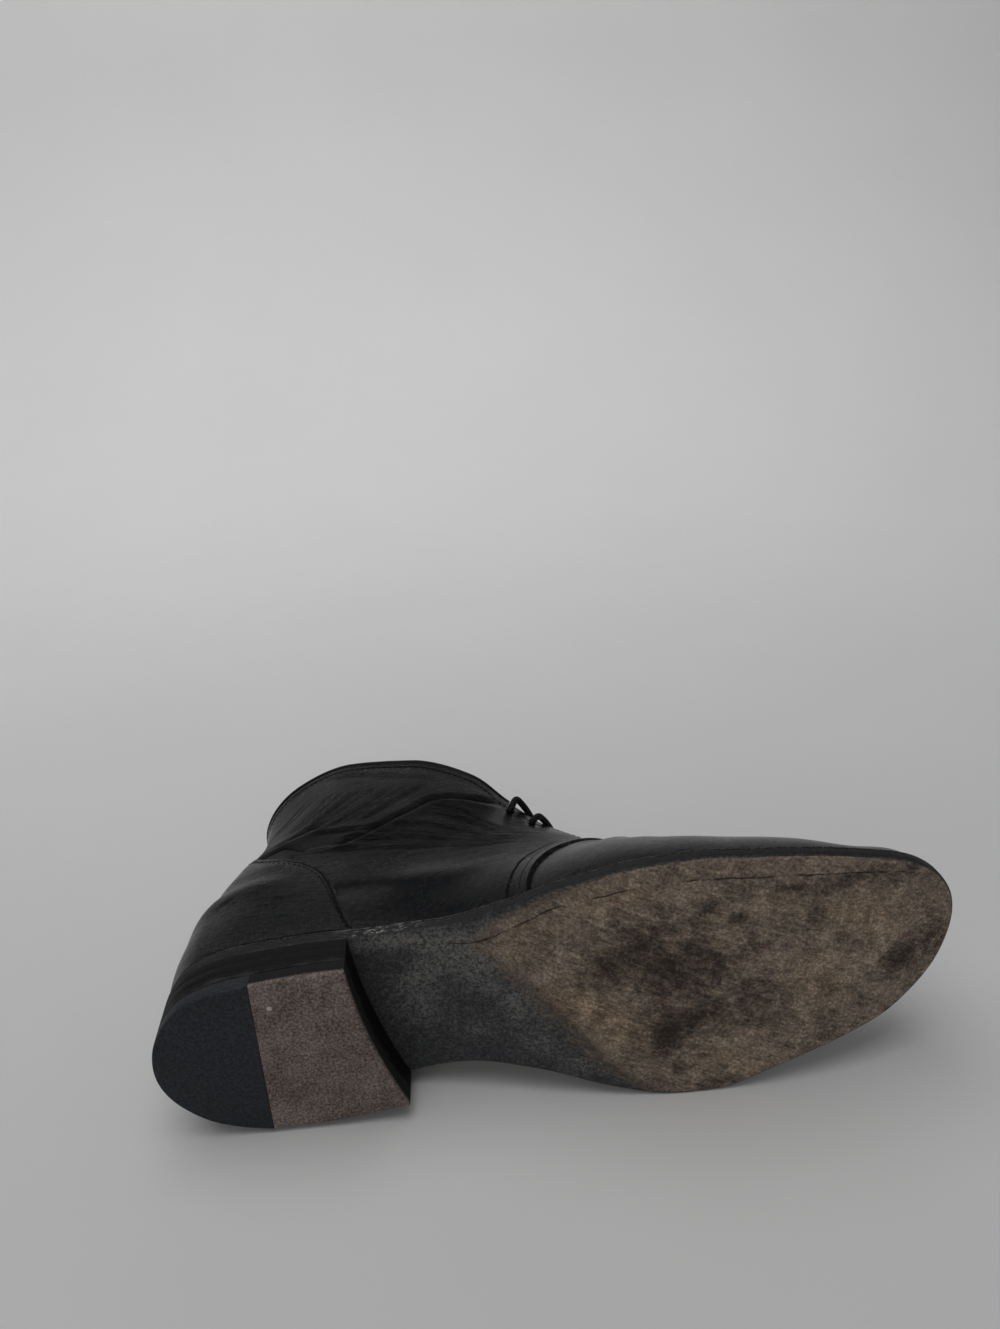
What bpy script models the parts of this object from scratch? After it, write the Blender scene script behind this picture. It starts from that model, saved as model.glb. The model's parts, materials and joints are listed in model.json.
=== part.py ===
"""Chukka boot for the right foot, lying on its medial side.

Each piece is worked out in the boot's own frame, as it stands on its heel and ball: x runs from the
back of the heel to the toe, y to the medial side and z up from the floor. The sizes and tables are
in millimetres. At the end an empty lays the boot on its side.
"""

import functools
import math

import bmesh
import bpy
import numpy as np
from mathutils import Matrix, Vector

MM = 0.001

# Driving sizes
SOLE_LENGTH = 300.0
SOLE_THICKNESS = 5.5
SOLE_EDGE_ROUND = 0.9
SOLE_LIP = 2.2
SOLE_END = 0.4
SOLE_STATIONS = 46
GAP = 0.3
VAMP_WALL = 1.8
QUARTER_STEP = 1.2
QUARTER_WALL = VAMP_WALL + QUARTER_STEP
INSOLE_THICKNESS = 2.4
LIFT_THICKNESS = 6.0
HEEL_TAPER = 0.6
HEEL_PITCH = 0.5
HEEL_LEAN = 0.8
HEEL_HALF_WIDTH = 33.0
HEEL_EDGE_ROUND = 0.5
BREAST_LATERAL = 76.5
BREAST_MEDIAL = 87.5
BREAST_HOLLOW = 2.6
RUBBER_LATERAL = 42.5
RUBBER_MEDIAL = 36.0
COUNTER_THICKNESS = 1.1
COUNTER_GAP = 0.5
TONGUE_THICKNESS = 1.8
TONGUE_GAP = 0.45
TONGUE_WING = 13.0
TONGUE_RIBS = (6.4, 10.2)
BINDING_RADIUS = 1.7
LACE_RADIUS = 1.5
EYELET_RADIUS = 2.4
EYELET_INSET = 8.5

LATERAL = -1
MEDIAL = 1


def table(columns, *rows):
    """Columns of numbers by name, from rows written in the order of the names."""
    return dict(zip(columns.split(), np.array(rows, dtype=float).T))


# Half widths of the sole on either side of the heel's centre line
OUTLINE = table(
    "x medial lateral",
    (0, 0, 0),
    (6, 16.5, 18),
    (18, 27, 28.5),
    (36, 33, 32.5),
    (60, 34.5, 33),
    (88, 33, 31.5),
    (112, 30, 33.5),
    (135, 33.5, 40),
    (160, 42.5, 48),
    (185, 49.8, 52.3),
    (202, 51, 52),
    (222, 46.4, 48.8),
    (246, 41.4, 42.8),
    (266, 37.3, 35.2),
    (281, 30, 28),
    (291, 22, 19.8),
    (297.5, 11.5, 10.5),
    (300, 0, 0),
)

# Height of the tread: level heel seat, rising waist, flat ball and toe spring
TREAD = table(
    "x height",
    (0, 19.4),
    (45, 18.05),
    (90, 16.7),
    (115, 12.2),
    (142, 6),
    (170, 1.4),
    (192, 0),
    (214, 0),
    (240, 2.2),
    (270, 8.3),
    (300, 17.5),
)

# Ribs of the last from the toe (0) to the back of the heel (16). Each runs from the sole's edge at
# x = foot up to the top line: the ridge of the vamp, the throat from rib 7, the collar from rib 10.
# face is the way the wall looks, in degrees from the toe round to the back.
TOP_LINE = table(
    "rib foot face top_x mid_y gap top_z sweep",
    (0, 300, 0, 262, 2, 0, 43, 0),
    (1, 297.5, 35, 262, 2, 0, 43, 0),
    (2, 287, 65, 261, 2, 0, 43.3, 0),
    (3, 268, 82, 254, 3, 0, 45.5, 0),
    (4, 242, 88, 236, 5, 0, 50.5, 0),
    (5, 212, 90, 216, 5, 0, 59, -1),
    (6, 178, 90, 199, 4, 0, 71, -5),
    (7, 143, 90, 182, 3, 0, 86, -12),
    (8, 128, 90, 169, 2, 6, 96.5, -14),
    (9, 113, 90, 155, 1, 6.5, 109.5, -14),
    (10, 98, 90, 139, 0, 13.5, 123, -10),
    (11, 81, 90, 124, 0, 26.5, 130, -8),
    (12, 62, 90, 98, 0, 34, 139.5, -6),
    (13, 40, 95, 69, 0, 34.5, 145.5, -3),
    (14, 22, 118, 42, 0, 26.5, 147, 0),
    (15, 8, 150, 27, 0, 14, 147, 0),
    (15.6, 1.3, 168, 22.9, 0, 5.8, 147, 0),
    (16, 0, 180, 22, 0, 0, 147, 0),
)

# How far each rib's curve is pulled at its ends: up and out at the sole, down and out at the top
PULLS = {
    LATERAL: table(
        "rib rise flare fall spread",
        (0, 12, 1, 2, 20),
        (1, 12, 1, 2, 20),
        (2, 11, 1, 3, 20),
        (3, 11, 0.5, 5, 18),
        (4, 21, 0.5, 5, 22),
        (5, 23, 0.5, 6, 25),
        (6, 28, 2, 8, 26),
        (7, 34, 5, 9, 22),
        (8, 38, 7, 14, 19),
        (9, 42, 8.5, 22, 16),
        (10, 46, 9, 34, 9),
        (11, 46, 9, 42, 1),
        (12, 42, 9, 46, -4),
        (13, 40, 8.5, 46, -4),
        (14, 42, 8, 42, -7),
        (15, 40, 7.5, 42, -9),
        (16, 41, 7.5, 40, -10),
    ),
    MEDIAL: table(
        "rib rise flare fall spread",
        (0, 12, 1, 2, 20),
        (1, 12, 1, 2, 20),
        (2, 14, 1, 3, 20),
        (3, 18, 0.5, 4, 19),
        (4, 24, 0.5, 4, 22),
        (5, 28, 0.5, 6, 24),
        (6, 32, 2, 8, 24),
        (7, 36, 5, 9, 22),
        (8, 40, 6, 14, 20),
        (9, 42, 6, 22, 18),
        (10, 46, 5, 34, 12),
        (11, 46, 4, 42, 4),
        (12, 42, 3, 46, -1),
        (13, 40, 4, 46, -2),
        (14, 42, 6, 42, -6),
        (15, 40, 6.5, 42, -9),
        (16, 41, 7.5, 40, -10),
    ),
}

QUARTER_RIB = 7
COLLAR_RIB = 10
BACK_RIB = 16

# Height of the counter's top edge along the ribs, from its front corner to the back seam
COUNTER_EDGE = table(
    "rib height",
    (11.2, 27),
    (11.7, 45),
    (12.15, 58),
    (12.7, 68),
    (13.4, 76),
    (14.2, 91),
    (15.2, 111),
    (16, 119),
)

# The two rows of eyelets: their ribs, and how far the lace bar arches over the throat
LACE_ROWS = table(
    "rib arch",
    (9.15, 2.3),
    (9.8, 4.5),
)
LACE_NAMES = ("lace_bar_lower", "lace_bar_upper")


def smooth(at, values, x):
    """Value at x of a curve through the rows, which never swings past a row."""
    steps = np.diff(at)
    slopes = np.diff(values) / steps
    tangents = [slopes[0]]
    for before, after in zip(slopes[:-1], slopes[1:]):
        turns = before * after <= 0
        tangents.append(0.0 if turns else 2 * before * after / (before + after))
    tangents.append(slopes[-1])
    row = int(np.clip(np.searchsorted(at, x) - 1, 0, len(steps) - 1))
    width = steps[row]
    t = (x - at[row]) / width
    start = (1 + 2 * t) * (1 - t) ** 2 * values[row] + t * (1 - t) ** 2 * width * tangents[row]
    end = t * t * (3 - 2 * t) * values[row + 1] + t * t * (t - 1) * width * tangents[row + 1]
    return float(start + end)


def read(rows, key, x, column):
    """Smooth value of one named column of a table."""
    return smooth(rows[key], rows[column], x)


def tread_height(x):
    """Height of the outsole's underside."""
    return read(TREAD, "x", x, "height")


def seat_height(x):
    """Height of the outsole's upper face."""
    return tread_height(x) + SOLE_THICKNESS


def edge_angle(x):
    """Angle round the sole for a place along it: 0 at the heel's back, pi at the toe."""
    return math.acos(1 - 2 * np.clip(x / SOLE_LENGTH, 0, 1))


EDGE_ANGLES = np.array([edge_angle(x) for x in OUTLINE["x"]])


def edge_point(angle, side):
    """Point of the sole's edge, seen from above."""
    column = "medial" if side == MEDIAL else "lateral"
    x = SOLE_LENGTH * (1 - math.cos(angle)) / 2
    return np.array([x, side * smooth(EDGE_ANGLES, OUTLINE[column], angle)])


def inset_edge_point(angle, side, inset):
    """Point of the sole's edge moved square to the edge, towards the inside."""
    step = 0.01
    before = edge_point(max(angle - step, 0), side)
    after = edge_point(min(angle + step, math.pi), side)
    along = (after - before) / np.linalg.norm(after - before)
    return edge_point(angle, side) + inset * side * np.array([along[1], -along[0]])


@functools.lru_cache(maxsize=None)
def rib_corners(rib, side):
    """The four control points of one rib of the last, a Bezier curve from the sole to the top line."""
    line = {name: read(TOP_LINE, "rib", rib, name) for name in TOP_LINE}
    pull = {name: read(PULLS[side], "rib", rib, name) for name in PULLS[side]}
    angle = math.radians(line["face"])
    out = np.array([math.cos(angle), side * math.sin(angle), 0])
    wall = wall_thickness(rib)
    foot_angle = smooth(TOP_LINE["rib"], np.array([edge_angle(x) for x in TOP_LINE["foot"]]), rib)
    inner = inset_edge_point(foot_angle, side, SOLE_LIP + wall)
    outer = inset_edge_point(foot_angle, side, SOLE_LIP)
    lean = wall * pull["flare"] / math.hypot(pull["rise"], pull["flare"])
    floor = max(seat_height(inner[0]), seat_height(outer[0])) + GAP + lean
    foot = np.array([inner[0], inner[1], floor])
    top = np.array([line["top_x"], line["mid_y"] + side * line["gap"], line["top_z"]])
    foot_pull = pull["flare"] * out + np.array([0, 0, pull["rise"]])
    top_pull = pull["spread"] * out + np.array([line["sweep"], 0, -pull["fall"]])
    return foot, foot + foot_pull, top + top_pull, top


def last_point(rib, side, v):
    """Point of the last, from the sole (v = 0) to the top line (v = 1)."""
    a, b, c, d = rib_corners(rib, side)
    w = 1 - v
    return w**3 * a + 3 * w * w * v * b + 3 * w * v * v * c + v**3 * d


def last_normal(rib, side, v):
    """Unit vector out of the last."""
    step = 0.02
    along_rib = last_point(rib, side, min(v + step, 1)) - last_point(rib, side, max(v - step, 0))
    ahead = last_point(max(rib - step, 0), side, v)
    behind = last_point(min(rib + step, BACK_RIB), side, v)
    normal = np.cross(ahead - behind, along_rib) * -side
    return normal / np.linalg.norm(normal)


def off_last(rib, side, v, distance):
    """Point at a distance outside the last, or inside it where the distance is negative."""
    return last_point(rib, side, v) + distance * last_normal(rib, side, v)


def height_on_rib(rib, side, height):
    """How far up a rib it reaches a height above the floor."""
    low, high = 0.0, 1.0
    for _ in range(30):
        middle = (low + high) / 2
        if last_point(rib, side, middle)[2] < height:
            low = middle
        else:
            high = middle
    return low


def wall_thickness(rib):
    """The quarters lie over the vamp, so the wall is thicker behind their front edge."""
    return VAMP_WALL if rib < QUARTER_RIB else QUARTER_WALL


def material(name, colour, roughness):
    """Plain leather, rubber or cord of one colour."""
    made = bpy.data.materials.new(name)
    made.use_nodes = True
    shader = made.node_tree.nodes["Principled BSDF"]
    shader.inputs["Base Color"].default_value = (*colour, 1)
    shader.inputs["Roughness"].default_value = roughness
    shader.inputs["Metallic"].default_value = 0
    return made


def collection(name):
    """New collection in the scene."""
    made = bpy.data.collections.new(name)
    bpy.context.scene.collection.children.link(made)
    return made


def new_object(name, mesh, finish, home):
    """Object for a finished mesh, shaded smooth with sharp corners."""
    mesh.materials.append(finish)
    mesh.shade_smooth()
    mesh.set_sharp_from_angle(angle=math.radians(40))
    made = bpy.data.objects.new(name, mesh)
    home.objects.link(made)
    return made


def grid_faces(shape, offset=0):
    """Corner numbers of the quads of a grid of points."""
    rows, columns = shape
    number = np.arange(rows * columns).reshape(rows, columns) + offset
    corners = (number[:-1, :-1], number[1:, :-1], number[1:, 1:], number[:-1, 1:])
    return np.stack(corners, axis=-1).reshape(-1, 4)


def surface_mesh(name, points):
    """Open surface through a grid of points, with the seams between its edges welded."""
    mesh = bpy.data.meshes.new(name)
    flat = points.reshape(-1, 3) * MM
    mesh.from_pydata(flat.tolist(), [], grid_faces(points.shape[:2]).tolist())
    weld(mesh)
    return mesh


def loft_mesh(name, lower, upper):
    """Closed solid between two grids of points."""
    rows, columns = lower.shape[:2]
    count = rows * columns
    number = np.arange(count).reshape(rows, columns)
    rim = [*number[:, 0], *number[-1, 1:], *number[-2::-1, -1], *number[0, -2:0:-1]]
    sides = [(a, b, b + count, a + count) for a, b in zip(rim, rim[1:] + rim[:1])]
    faces = [*grid_faces((rows, columns)), *grid_faces((rows, columns), count), *sides]
    mesh = bpy.data.meshes.new(name)
    flat = np.concatenate([lower.reshape(-1, 3), upper.reshape(-1, 3)]) * MM
    mesh.from_pydata(flat.tolist(), [], [tuple(map(int, face)) for face in faces])
    weld(mesh)
    return mesh


def weld(mesh):
    """Joins points in one place and turns every face outwards."""
    work = bmesh.new()
    work.from_mesh(mesh)
    bmesh.ops.remove_doubles(work, verts=work.verts, dist=0.01 * MM)
    bmesh.ops.recalc_face_normals(work, faces=work.faces)
    work.to_mesh(mesh)
    work.free()


def thicken(made, thickness, outwards, group=""):
    """Solidify modifier that grows a surface to one side."""
    modifier = made.modifiers.new("Wall", "SOLIDIFY")
    modifier.thickness = thickness * MM
    modifier.offset = 1 if outwards else -1
    modifier.vertex_group = group


def round_edges(made, width):
    """Bevel modifier on the sharp edges."""
    modifier = made.modifiers.new("Round", "BEVEL")
    modifier.width = width * MM
    modifier.segments = 1
    modifier.limit_method = "ANGLE"
    modifier.angle_limit = math.radians(50)


def sole_grid(inset, columns, height):
    """Grid of points across the sole's outline, at a height that depends on x."""
    rows = []
    ends = edge_angle(SOLE_END), edge_angle(SOLE_LENGTH - SOLE_END)
    for angle in np.linspace(*ends, SOLE_STATIONS):
        left = inset_edge_point(angle, LATERAL, inset)
        right = inset_edge_point(angle, MEDIAL, inset)
        across = [left + (right - left) * t for t in np.linspace(0, 1, columns)]
        rows.append([(x, y, height(x)) for x, y in across])
    return np.array(rows)


def build_outsole(finish, home):
    """Leather outsole with a rounded edge."""
    columns = 5
    lower = sole_grid(0, columns, tread_height)
    upper = sole_grid(0, columns, seat_height)
    made = new_object("outsole", loft_mesh("outsole", lower, upper), finish, home)
    round_edges(made, SOLE_EDGE_ROUND)
    return made


def build_insole(finish, home):
    """Insole that lies on the outsole, inside the upper's foot."""
    columns = 5
    inset = SOLE_LIP + QUARTER_WALL + 2 * GAP
    lower = sole_grid(inset, columns, lambda x: seat_height(x) + GAP)
    upper = sole_grid(inset, columns, lambda x: seat_height(x) + GAP + INSOLE_THICKNESS)
    return new_object("insole", loft_mesh("insole", lower, upper), finish, home)


def across(y):
    """How far over the heel's width a point is, from the lateral (0) to the medial side (1)."""
    return min(max((y / HEEL_HALF_WIDTH + 1) / 2, 0), 1)


def heel_back(_):
    """Back of the heel, just inside its round end."""
    return SOLE_END


def breast(y):
    """Front of the heel: longer on the medial side, and hollow in the middle."""
    t = across(y)
    return BREAST_LATERAL + (BREAST_MEDIAL - BREAST_LATERAL) * t - BREAST_HOLLOW * 4 * t * (1 - t)


def rubber_front(y):
    """Joint between the rubber and leather halves of the top lift."""
    return RUBBER_LATERAL + (RUBBER_MEDIAL - RUBBER_LATERAL) * across(y)


def leather_back(y):
    """Back of the leather half, a hair from the rubber."""
    return rubber_front(y) + GAP


def floor_height(_):
    """Underside of the top lift."""
    return 0.0


def lift_top(_):
    """Upper face of the top lift."""
    return LIFT_THICKNESS


def stack_bottom(_):
    """Underside of the heel block, a hair above the top lift."""
    return LIFT_THICKNESS + GAP


def stack_top(x):
    """Upper face of the heel block, a hair under the outsole."""
    return tread_height(x) - GAP


def heel_grid(start, end, height):
    """Grid of points over the heel between two lines across it, drawn in towards the tread."""
    rows, columns = 11, 5
    grid = []
    for s in 1 - np.cos(np.linspace(0, math.pi / 2, rows)):
        ends = []
        for side in (LATERAL, MEDIAL):
            y = 0.0
            for _ in range(5):
                x = start(y) + (end(y) - start(y)) * s
                y = edge_point(edge_angle(x), side)[1]
            ends.append(y)
        row = []
        for y in np.linspace(*ends, columns):
            x = start(y) + (end(y) - start(y)) * s
            z = height(x)
            down = 1 - z / tread_height(x)
            inwards = HEEL_TAPER * y / HEEL_HALF_WIDTH
            forwards = HEEL_PITCH * max(1 - x / BREAST_LATERAL, 0) ** 2
            row.append((x + down * forwards, y + down * (HEEL_LEAN - inwards), z))
        grid.append(row)
    return np.array(grid)


def build_heel(leather, lift_leather, rubber, home):
    """Heel block under the seat, and the two halves of its top lift."""
    pieces = (
        ("heel_stack", heel_back, breast, stack_bottom, stack_top, leather),
        ("heel_lift", leather_back, breast, floor_height, lift_top, lift_leather),
        ("heel_rubber", heel_back, rubber_front, floor_height, lift_top, rubber),
    )
    for name, start, end, low, high, finish in pieces:
        mesh = loft_mesh(name, heel_grid(start, end, low), heel_grid(start, end, high))
        made = new_object(name, mesh, finish, home)
        round_edges(made, HEEL_EDGE_ROUND)


def both_sides(steps):
    """Ribs from the back seam along the lateral side to the first step, and back on the medial side."""
    return [(rib, LATERAL) for rib in reversed(steps)] + [(rib, MEDIAL) for rib in steps[1:]]


def round_the_back(steps):
    """Ribs from the first step on the lateral side, past the back seam, to the medial side."""
    return [(rib, LATERAL) for rib in steps] + [(rib, MEDIAL) for rib in reversed(steps[:-1])]


def rib_steps():
    """Ribs at which the upper is drawn, with two close together at the quarters' front edge."""
    steps_per_rib, edge_width = 3, 0.03
    steps = list(np.linspace(0, BACK_RIB, BACK_RIB * steps_per_rib + 1))
    steps.insert(steps.index(QUARTER_RIB), QUARTER_RIB - edge_width)
    return steps


def build_upper(finish, home):
    """Vamp and quarters: one hollow wall on the last, open below, at the throat and at the collar."""
    rows = 15
    loop = both_sides(rib_steps())
    heights = np.linspace(0, 1, rows)
    points = np.array([[last_point(rib, side, v) for v in heights] for rib, side in loop])
    mesh = surface_mesh("upper", points)
    made = new_object("upper", mesh, finish, home)
    group = made.vertex_groups.new(name="wall")
    flat = points.reshape(-1, 3) * MM
    share = np.repeat([wall_thickness(rib) / QUARTER_WALL for rib, _ in loop], rows)
    for vertex in mesh.vertices:
        nearest = int(np.argmin(np.linalg.norm(flat - np.array(vertex.co), axis=1)))
        group.add([vertex.index], share[nearest], "REPLACE")
    thicken(made, QUARTER_WALL, True, group.name)
    return made


def build_counter(finish, home):
    """Outside counter: a second layer of leather round the back of the heel."""
    rows, foot = 8, 0.008
    front = COUNTER_EDGE["rib"][0]
    steps = [front] + [rib for rib in rib_steps() if rib > front]
    points = []
    for rib, side in round_the_back(steps):
        top = height_on_rib(rib, side, read(COUNTER_EDGE, "rib", rib, "height"))
        heights = np.linspace(foot, top, rows)
        points.append([off_last(rib, side, v, QUARTER_WALL + COUNTER_GAP) for v in heights])
    made = new_object("heel_counter", surface_mesh("heel_counter", np.array(points)), finish, home)
    thicken(made, COUNTER_THICKNESS, True)


def down_from_top(rib, side, distance):
    """How far up a rib lies the point at a distance below the top line."""
    corners = rib_corners(rib, side)
    return 1 - distance / (3 * np.linalg.norm(corners[3] - corners[2]))


def even_points(points, count):
    """Points at even steps along a chain of points."""
    points = np.array(points)
    lengths = np.concatenate([[0], np.cumsum(np.linalg.norm(np.diff(points, axis=0), axis=1))])
    wanted = np.linspace(0, lengths[-1], count)
    return np.stack([np.interp(wanted, lengths, axis) for axis in points.T], axis=1)


def build_tongue(finish, home):
    """Tongue under the throat, with its wings inside the quarters."""
    columns, rows, wing_points = 9, 12, 4
    grid = []
    for rib in np.linspace(*TONGUE_RIBS, rows):
        chain = []
        for side in (LATERAL, MEDIAL):
            wing = np.linspace(down_from_top(rib, side, TONGUE_WING), 1, wing_points)
            half = [off_last(rib, side, v, -TONGUE_GAP) for v in wing]
            chain += half if side == LATERAL else half[::-1]
        grid.append(even_points(chain, columns))
    made = new_object("tongue", surface_mesh("tongue", np.array(grid)), finish, home)
    thicken(made, TONGUE_THICKNESS, False)


def build_tube(name, points, radius, finish, home):
    """Round cord or roll along a chain of points, with closed ends."""
    curve = bpy.data.curves.new(name, "CURVE")
    curve.dimensions = "3D"
    curve.bevel_depth = radius * MM
    curve.bevel_resolution = 2
    curve.use_fill_caps = True
    spline = curve.splines.new("POLY")
    spline.points.add(len(points) - 1)
    for place, point in zip(spline.points, points):
        place.co = (*(np.array(point) * MM), 1)
    curve.materials.append(finish)
    made = bpy.data.objects.new(name, curve)
    home.objects.link(made)
    return made


def build_binding(finish, home):
    """Rolled binding that sits on the collar's edge, from one front corner round to the other."""
    points = []
    for rib, side in round_the_back(list(np.linspace(COLLAR_RIB, BACK_RIB, 25))):
        corners = rib_corners(rib, side)
        up = (corners[3] - corners[2]) / np.linalg.norm(corners[3] - corners[2])
        points.append(off_last(rib, side, 1, QUARTER_WALL / 2) + up * (BINDING_RADIUS + GAP))
    build_tube("collar_binding", points, BINDING_RADIUS, finish, home)


def curve_through(points, steps):
    """Smooth chain of points through a few hand-set ones."""
    points = [2 * points[0] - points[1], *points, 2 * points[-1] - points[-2]]
    chain = []
    for a, b, c, d in zip(points, points[1:], points[2:], points[3:]):
        for t in np.linspace(0, 1, steps, endpoint=False):
            bend = (2 * a - 5 * b + 4 * c - d) * t * t + (3 * b - a - 3 * c + d) * t**3
            chain.append(b + ((c - a) * t + bend) / 2)
    return [*chain, points[-2]]


def build_laces(upper, finish, home, cutters):
    """Eyelet holes through both quarters, and the lace bars that arch from hole to hole."""
    for name, rib, arch in zip(LACE_NAMES, LACE_ROWS["rib"], LACE_ROWS["arch"]):
        halves = []
        for side in (LATERAL, MEDIAL):
            eyelet = down_from_top(rib, side, EYELET_INSET)
            cut_eyelet(upper, rib, side, eyelet, cutters)
            near_edge = down_from_top(rib, side, EYELET_INSET / 3)
            halves.append([
                off_last(rib, side, eyelet, LACE_RADIUS),
                off_last(rib, side, eyelet, QUARTER_WALL),
                off_last(rib, side, eyelet, QUARTER_WALL + LACE_RADIUS + GAP),
                off_last(rib, side, near_edge, QUARTER_WALL + LACE_RADIUS + arch * 0.7),
            ])
        tops = [last_point(rib, side, 1) for side in (LATERAL, MEDIAL)]
        outwards = last_normal(rib, LATERAL, 1) + last_normal(rib, MEDIAL, 1)
        lift = QUARTER_WALL + LACE_RADIUS + arch
        crown = (tops[0] + tops[1]) / 2 + lift * outwards / np.linalg.norm(outwards)
        route = [*halves[0], crown, *reversed(halves[1])]
        build_tube(name, curve_through(route, 4), LACE_RADIUS, finish, home)


def cut_eyelet(upper, rib, side, v, cutters):
    """Round hole through the quarter's wall."""
    radius = EYELET_RADIUS * MM
    depth = 4 * QUARTER_WALL * MM
    work = bmesh.new()
    bmesh.ops.create_cone(work, cap_ends=True, segments=12, radius1=radius, radius2=radius, depth=depth)
    mesh = bpy.data.meshes.new("eyelet_cutter")
    work.to_mesh(mesh)
    work.free()
    cutter = bpy.data.objects.new("eyelet_cutter", mesh)
    cutters.objects.link(cutter)
    cutter.location = off_last(rib, side, v, QUARTER_WALL / 2) * MM
    cutter.rotation_euler = Vector(last_normal(rib, side, v)).to_track_quat("Z", "Y").to_euler()
    cutter.hide_render = True
    cutter.display_type = "WIRE"
    modifier = upper.modifiers.new("Eyelet", "BOOLEAN")
    modifier.operation = "DIFFERENCE"
    modifier.object = cutter


def boot_points(home):
    """Every point of the finished pieces, in the boot's own frame."""
    bpy.context.view_layer.update()
    graph = bpy.context.evaluated_depsgraph_get()
    points = []
    for piece in home.objects:
        evaluated = piece.evaluated_get(graph)
        points += [vertex.co.copy() for vertex in evaluated.to_mesh().vertices]
        evaluated.to_mesh_clear()
    return points


def medial_rest(points):
    """Normal of the plane under heel, ball and shaft: the largest medial face of the boot's hull."""
    work = bmesh.new()
    for point in points:
        work.verts.new(point)
    hull = bmesh.ops.convex_hull(work, input=work.verts)["geom"]
    faces = [item for item in hull if isinstance(item, bmesh.types.BMFace)]
    bmesh.ops.recalc_face_normals(work, faces=faces)
    medial = [face for face in faces if face.normal.y > 0.9]
    resting = max(medial, key=lambda face: face.calc_area())
    normal = resting.normal.copy()
    work.free()
    return normal


def lay_down(home, cutters):
    """Empty that turns the boot on to its medial side, over the middle of its own box."""
    points = boot_points(home)
    down = medial_rest(points)
    along = Vector((1, 0, 0)) - down * down.x
    along.normalize()
    back = (-down).cross(along)
    turn = Matrix((along, back, -down))
    turned = np.array([turn @ point for point in points])
    low, high = turned.min(axis=0), turned.max(axis=0)
    base = bpy.data.objects.new("boot", None)
    bpy.context.scene.collection.objects.link(base)
    middle = (low + high) / 2
    base.matrix_world = Matrix.Translation((-middle[0], -middle[1], -low[2])) @ turn.to_4x4()
    for piece in [*home.objects, *cutters.objects]:
        piece.parent = base


def main():
    """Builds the pieces and lays the boot down."""
    for old in list(bpy.data.objects):
        bpy.data.objects.remove(old)
    home = collection("chukka_boot")
    cutters = collection("cutters")
    sole_leather = material("sole leather", (0.12, 0.09, 0.07), 0.75)
    heel_leather = material("heel leather", (0.02, 0.02, 0.022), 0.6)
    lift_leather = material("lift leather", (0.11, 0.09, 0.085), 0.8)
    rubber = material("rubber", (0.018, 0.02, 0.026), 0.7)
    black_leather = material("black leather", (0.02, 0.02, 0.021), 0.5)
    tongue_leather = material("tongue leather", (0.02, 0.02, 0.021), 0.6)
    insole_leather = material("insole leather", (0.18, 0.13, 0.09), 0.7)
    cord = material("lace cord", (0.012, 0.012, 0.013), 0.8)
    build_outsole(sole_leather, home)
    build_heel(heel_leather, lift_leather, rubber, home)
    build_insole(insole_leather, home)
    upper = build_upper(black_leather, home)
    build_counter(black_leather, home)
    build_tongue(tongue_leather, home)
    build_binding(black_leather, home)
    build_laces(upper, cord, home, cutters)
    lay_down(home, cutters)


if __name__ == "__main__":
    main()
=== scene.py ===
"""Looks of a worn black chukka boot for the right foot, lying on its medial side.

The boot's own frame is used for every size: x runs from the back of the heel to the toe, y to the
medial side and z up from the tread, in millimetres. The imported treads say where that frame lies.
"""

from __future__ import annotations

import json
import logging
import math
from abc import ABC, abstractmethod
from collections.abc import Callable
from dataclasses import dataclass
from enum import Enum

import bpy
import numpy as np
from mathutils import Matrix, Vector

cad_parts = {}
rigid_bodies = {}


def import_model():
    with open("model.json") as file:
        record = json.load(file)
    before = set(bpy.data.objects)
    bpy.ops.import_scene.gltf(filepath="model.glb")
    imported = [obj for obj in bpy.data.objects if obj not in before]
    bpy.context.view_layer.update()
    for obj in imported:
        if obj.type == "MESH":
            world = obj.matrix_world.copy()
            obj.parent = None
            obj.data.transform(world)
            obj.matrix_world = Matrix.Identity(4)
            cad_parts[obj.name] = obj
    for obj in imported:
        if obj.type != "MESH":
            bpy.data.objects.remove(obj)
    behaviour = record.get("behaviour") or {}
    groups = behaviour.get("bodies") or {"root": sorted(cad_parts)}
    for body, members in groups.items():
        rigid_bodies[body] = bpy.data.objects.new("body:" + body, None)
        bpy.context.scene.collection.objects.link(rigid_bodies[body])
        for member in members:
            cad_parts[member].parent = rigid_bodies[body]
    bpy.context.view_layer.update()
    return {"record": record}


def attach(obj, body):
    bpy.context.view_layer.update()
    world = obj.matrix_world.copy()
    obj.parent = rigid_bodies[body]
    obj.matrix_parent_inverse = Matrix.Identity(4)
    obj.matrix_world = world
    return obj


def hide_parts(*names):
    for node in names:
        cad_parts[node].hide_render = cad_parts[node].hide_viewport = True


LOG = logging.getLogger("chukka_boot")
MM = 0.001
BODY = "root"
Array = np.ndarray
Rows = dict[str, np.ndarray]
Line = Callable[[Array], Array]
Object = bpy.types.Object
Material = bpy.types.Material
Socket = bpy.types.NodeSocket
Triple = tuple[float, float, float]
Places = tuple[tuple[float, float], ...]


class Side(Enum):
    """The two sides of the boot, with the sign of y on each."""

    LATERAL = -1
    MEDIAL = 1

    @property
    def other(self) -> Side:
        """The opposite side."""
        return Side(-self.value)


def table(columns: str, *rows: tuple[float, ...]) -> Rows:
    """Sorts rows of numbers into columns, whose names have spaces between them."""
    return dict(zip(columns.split(), np.array(rows, dtype=float).T))


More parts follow.
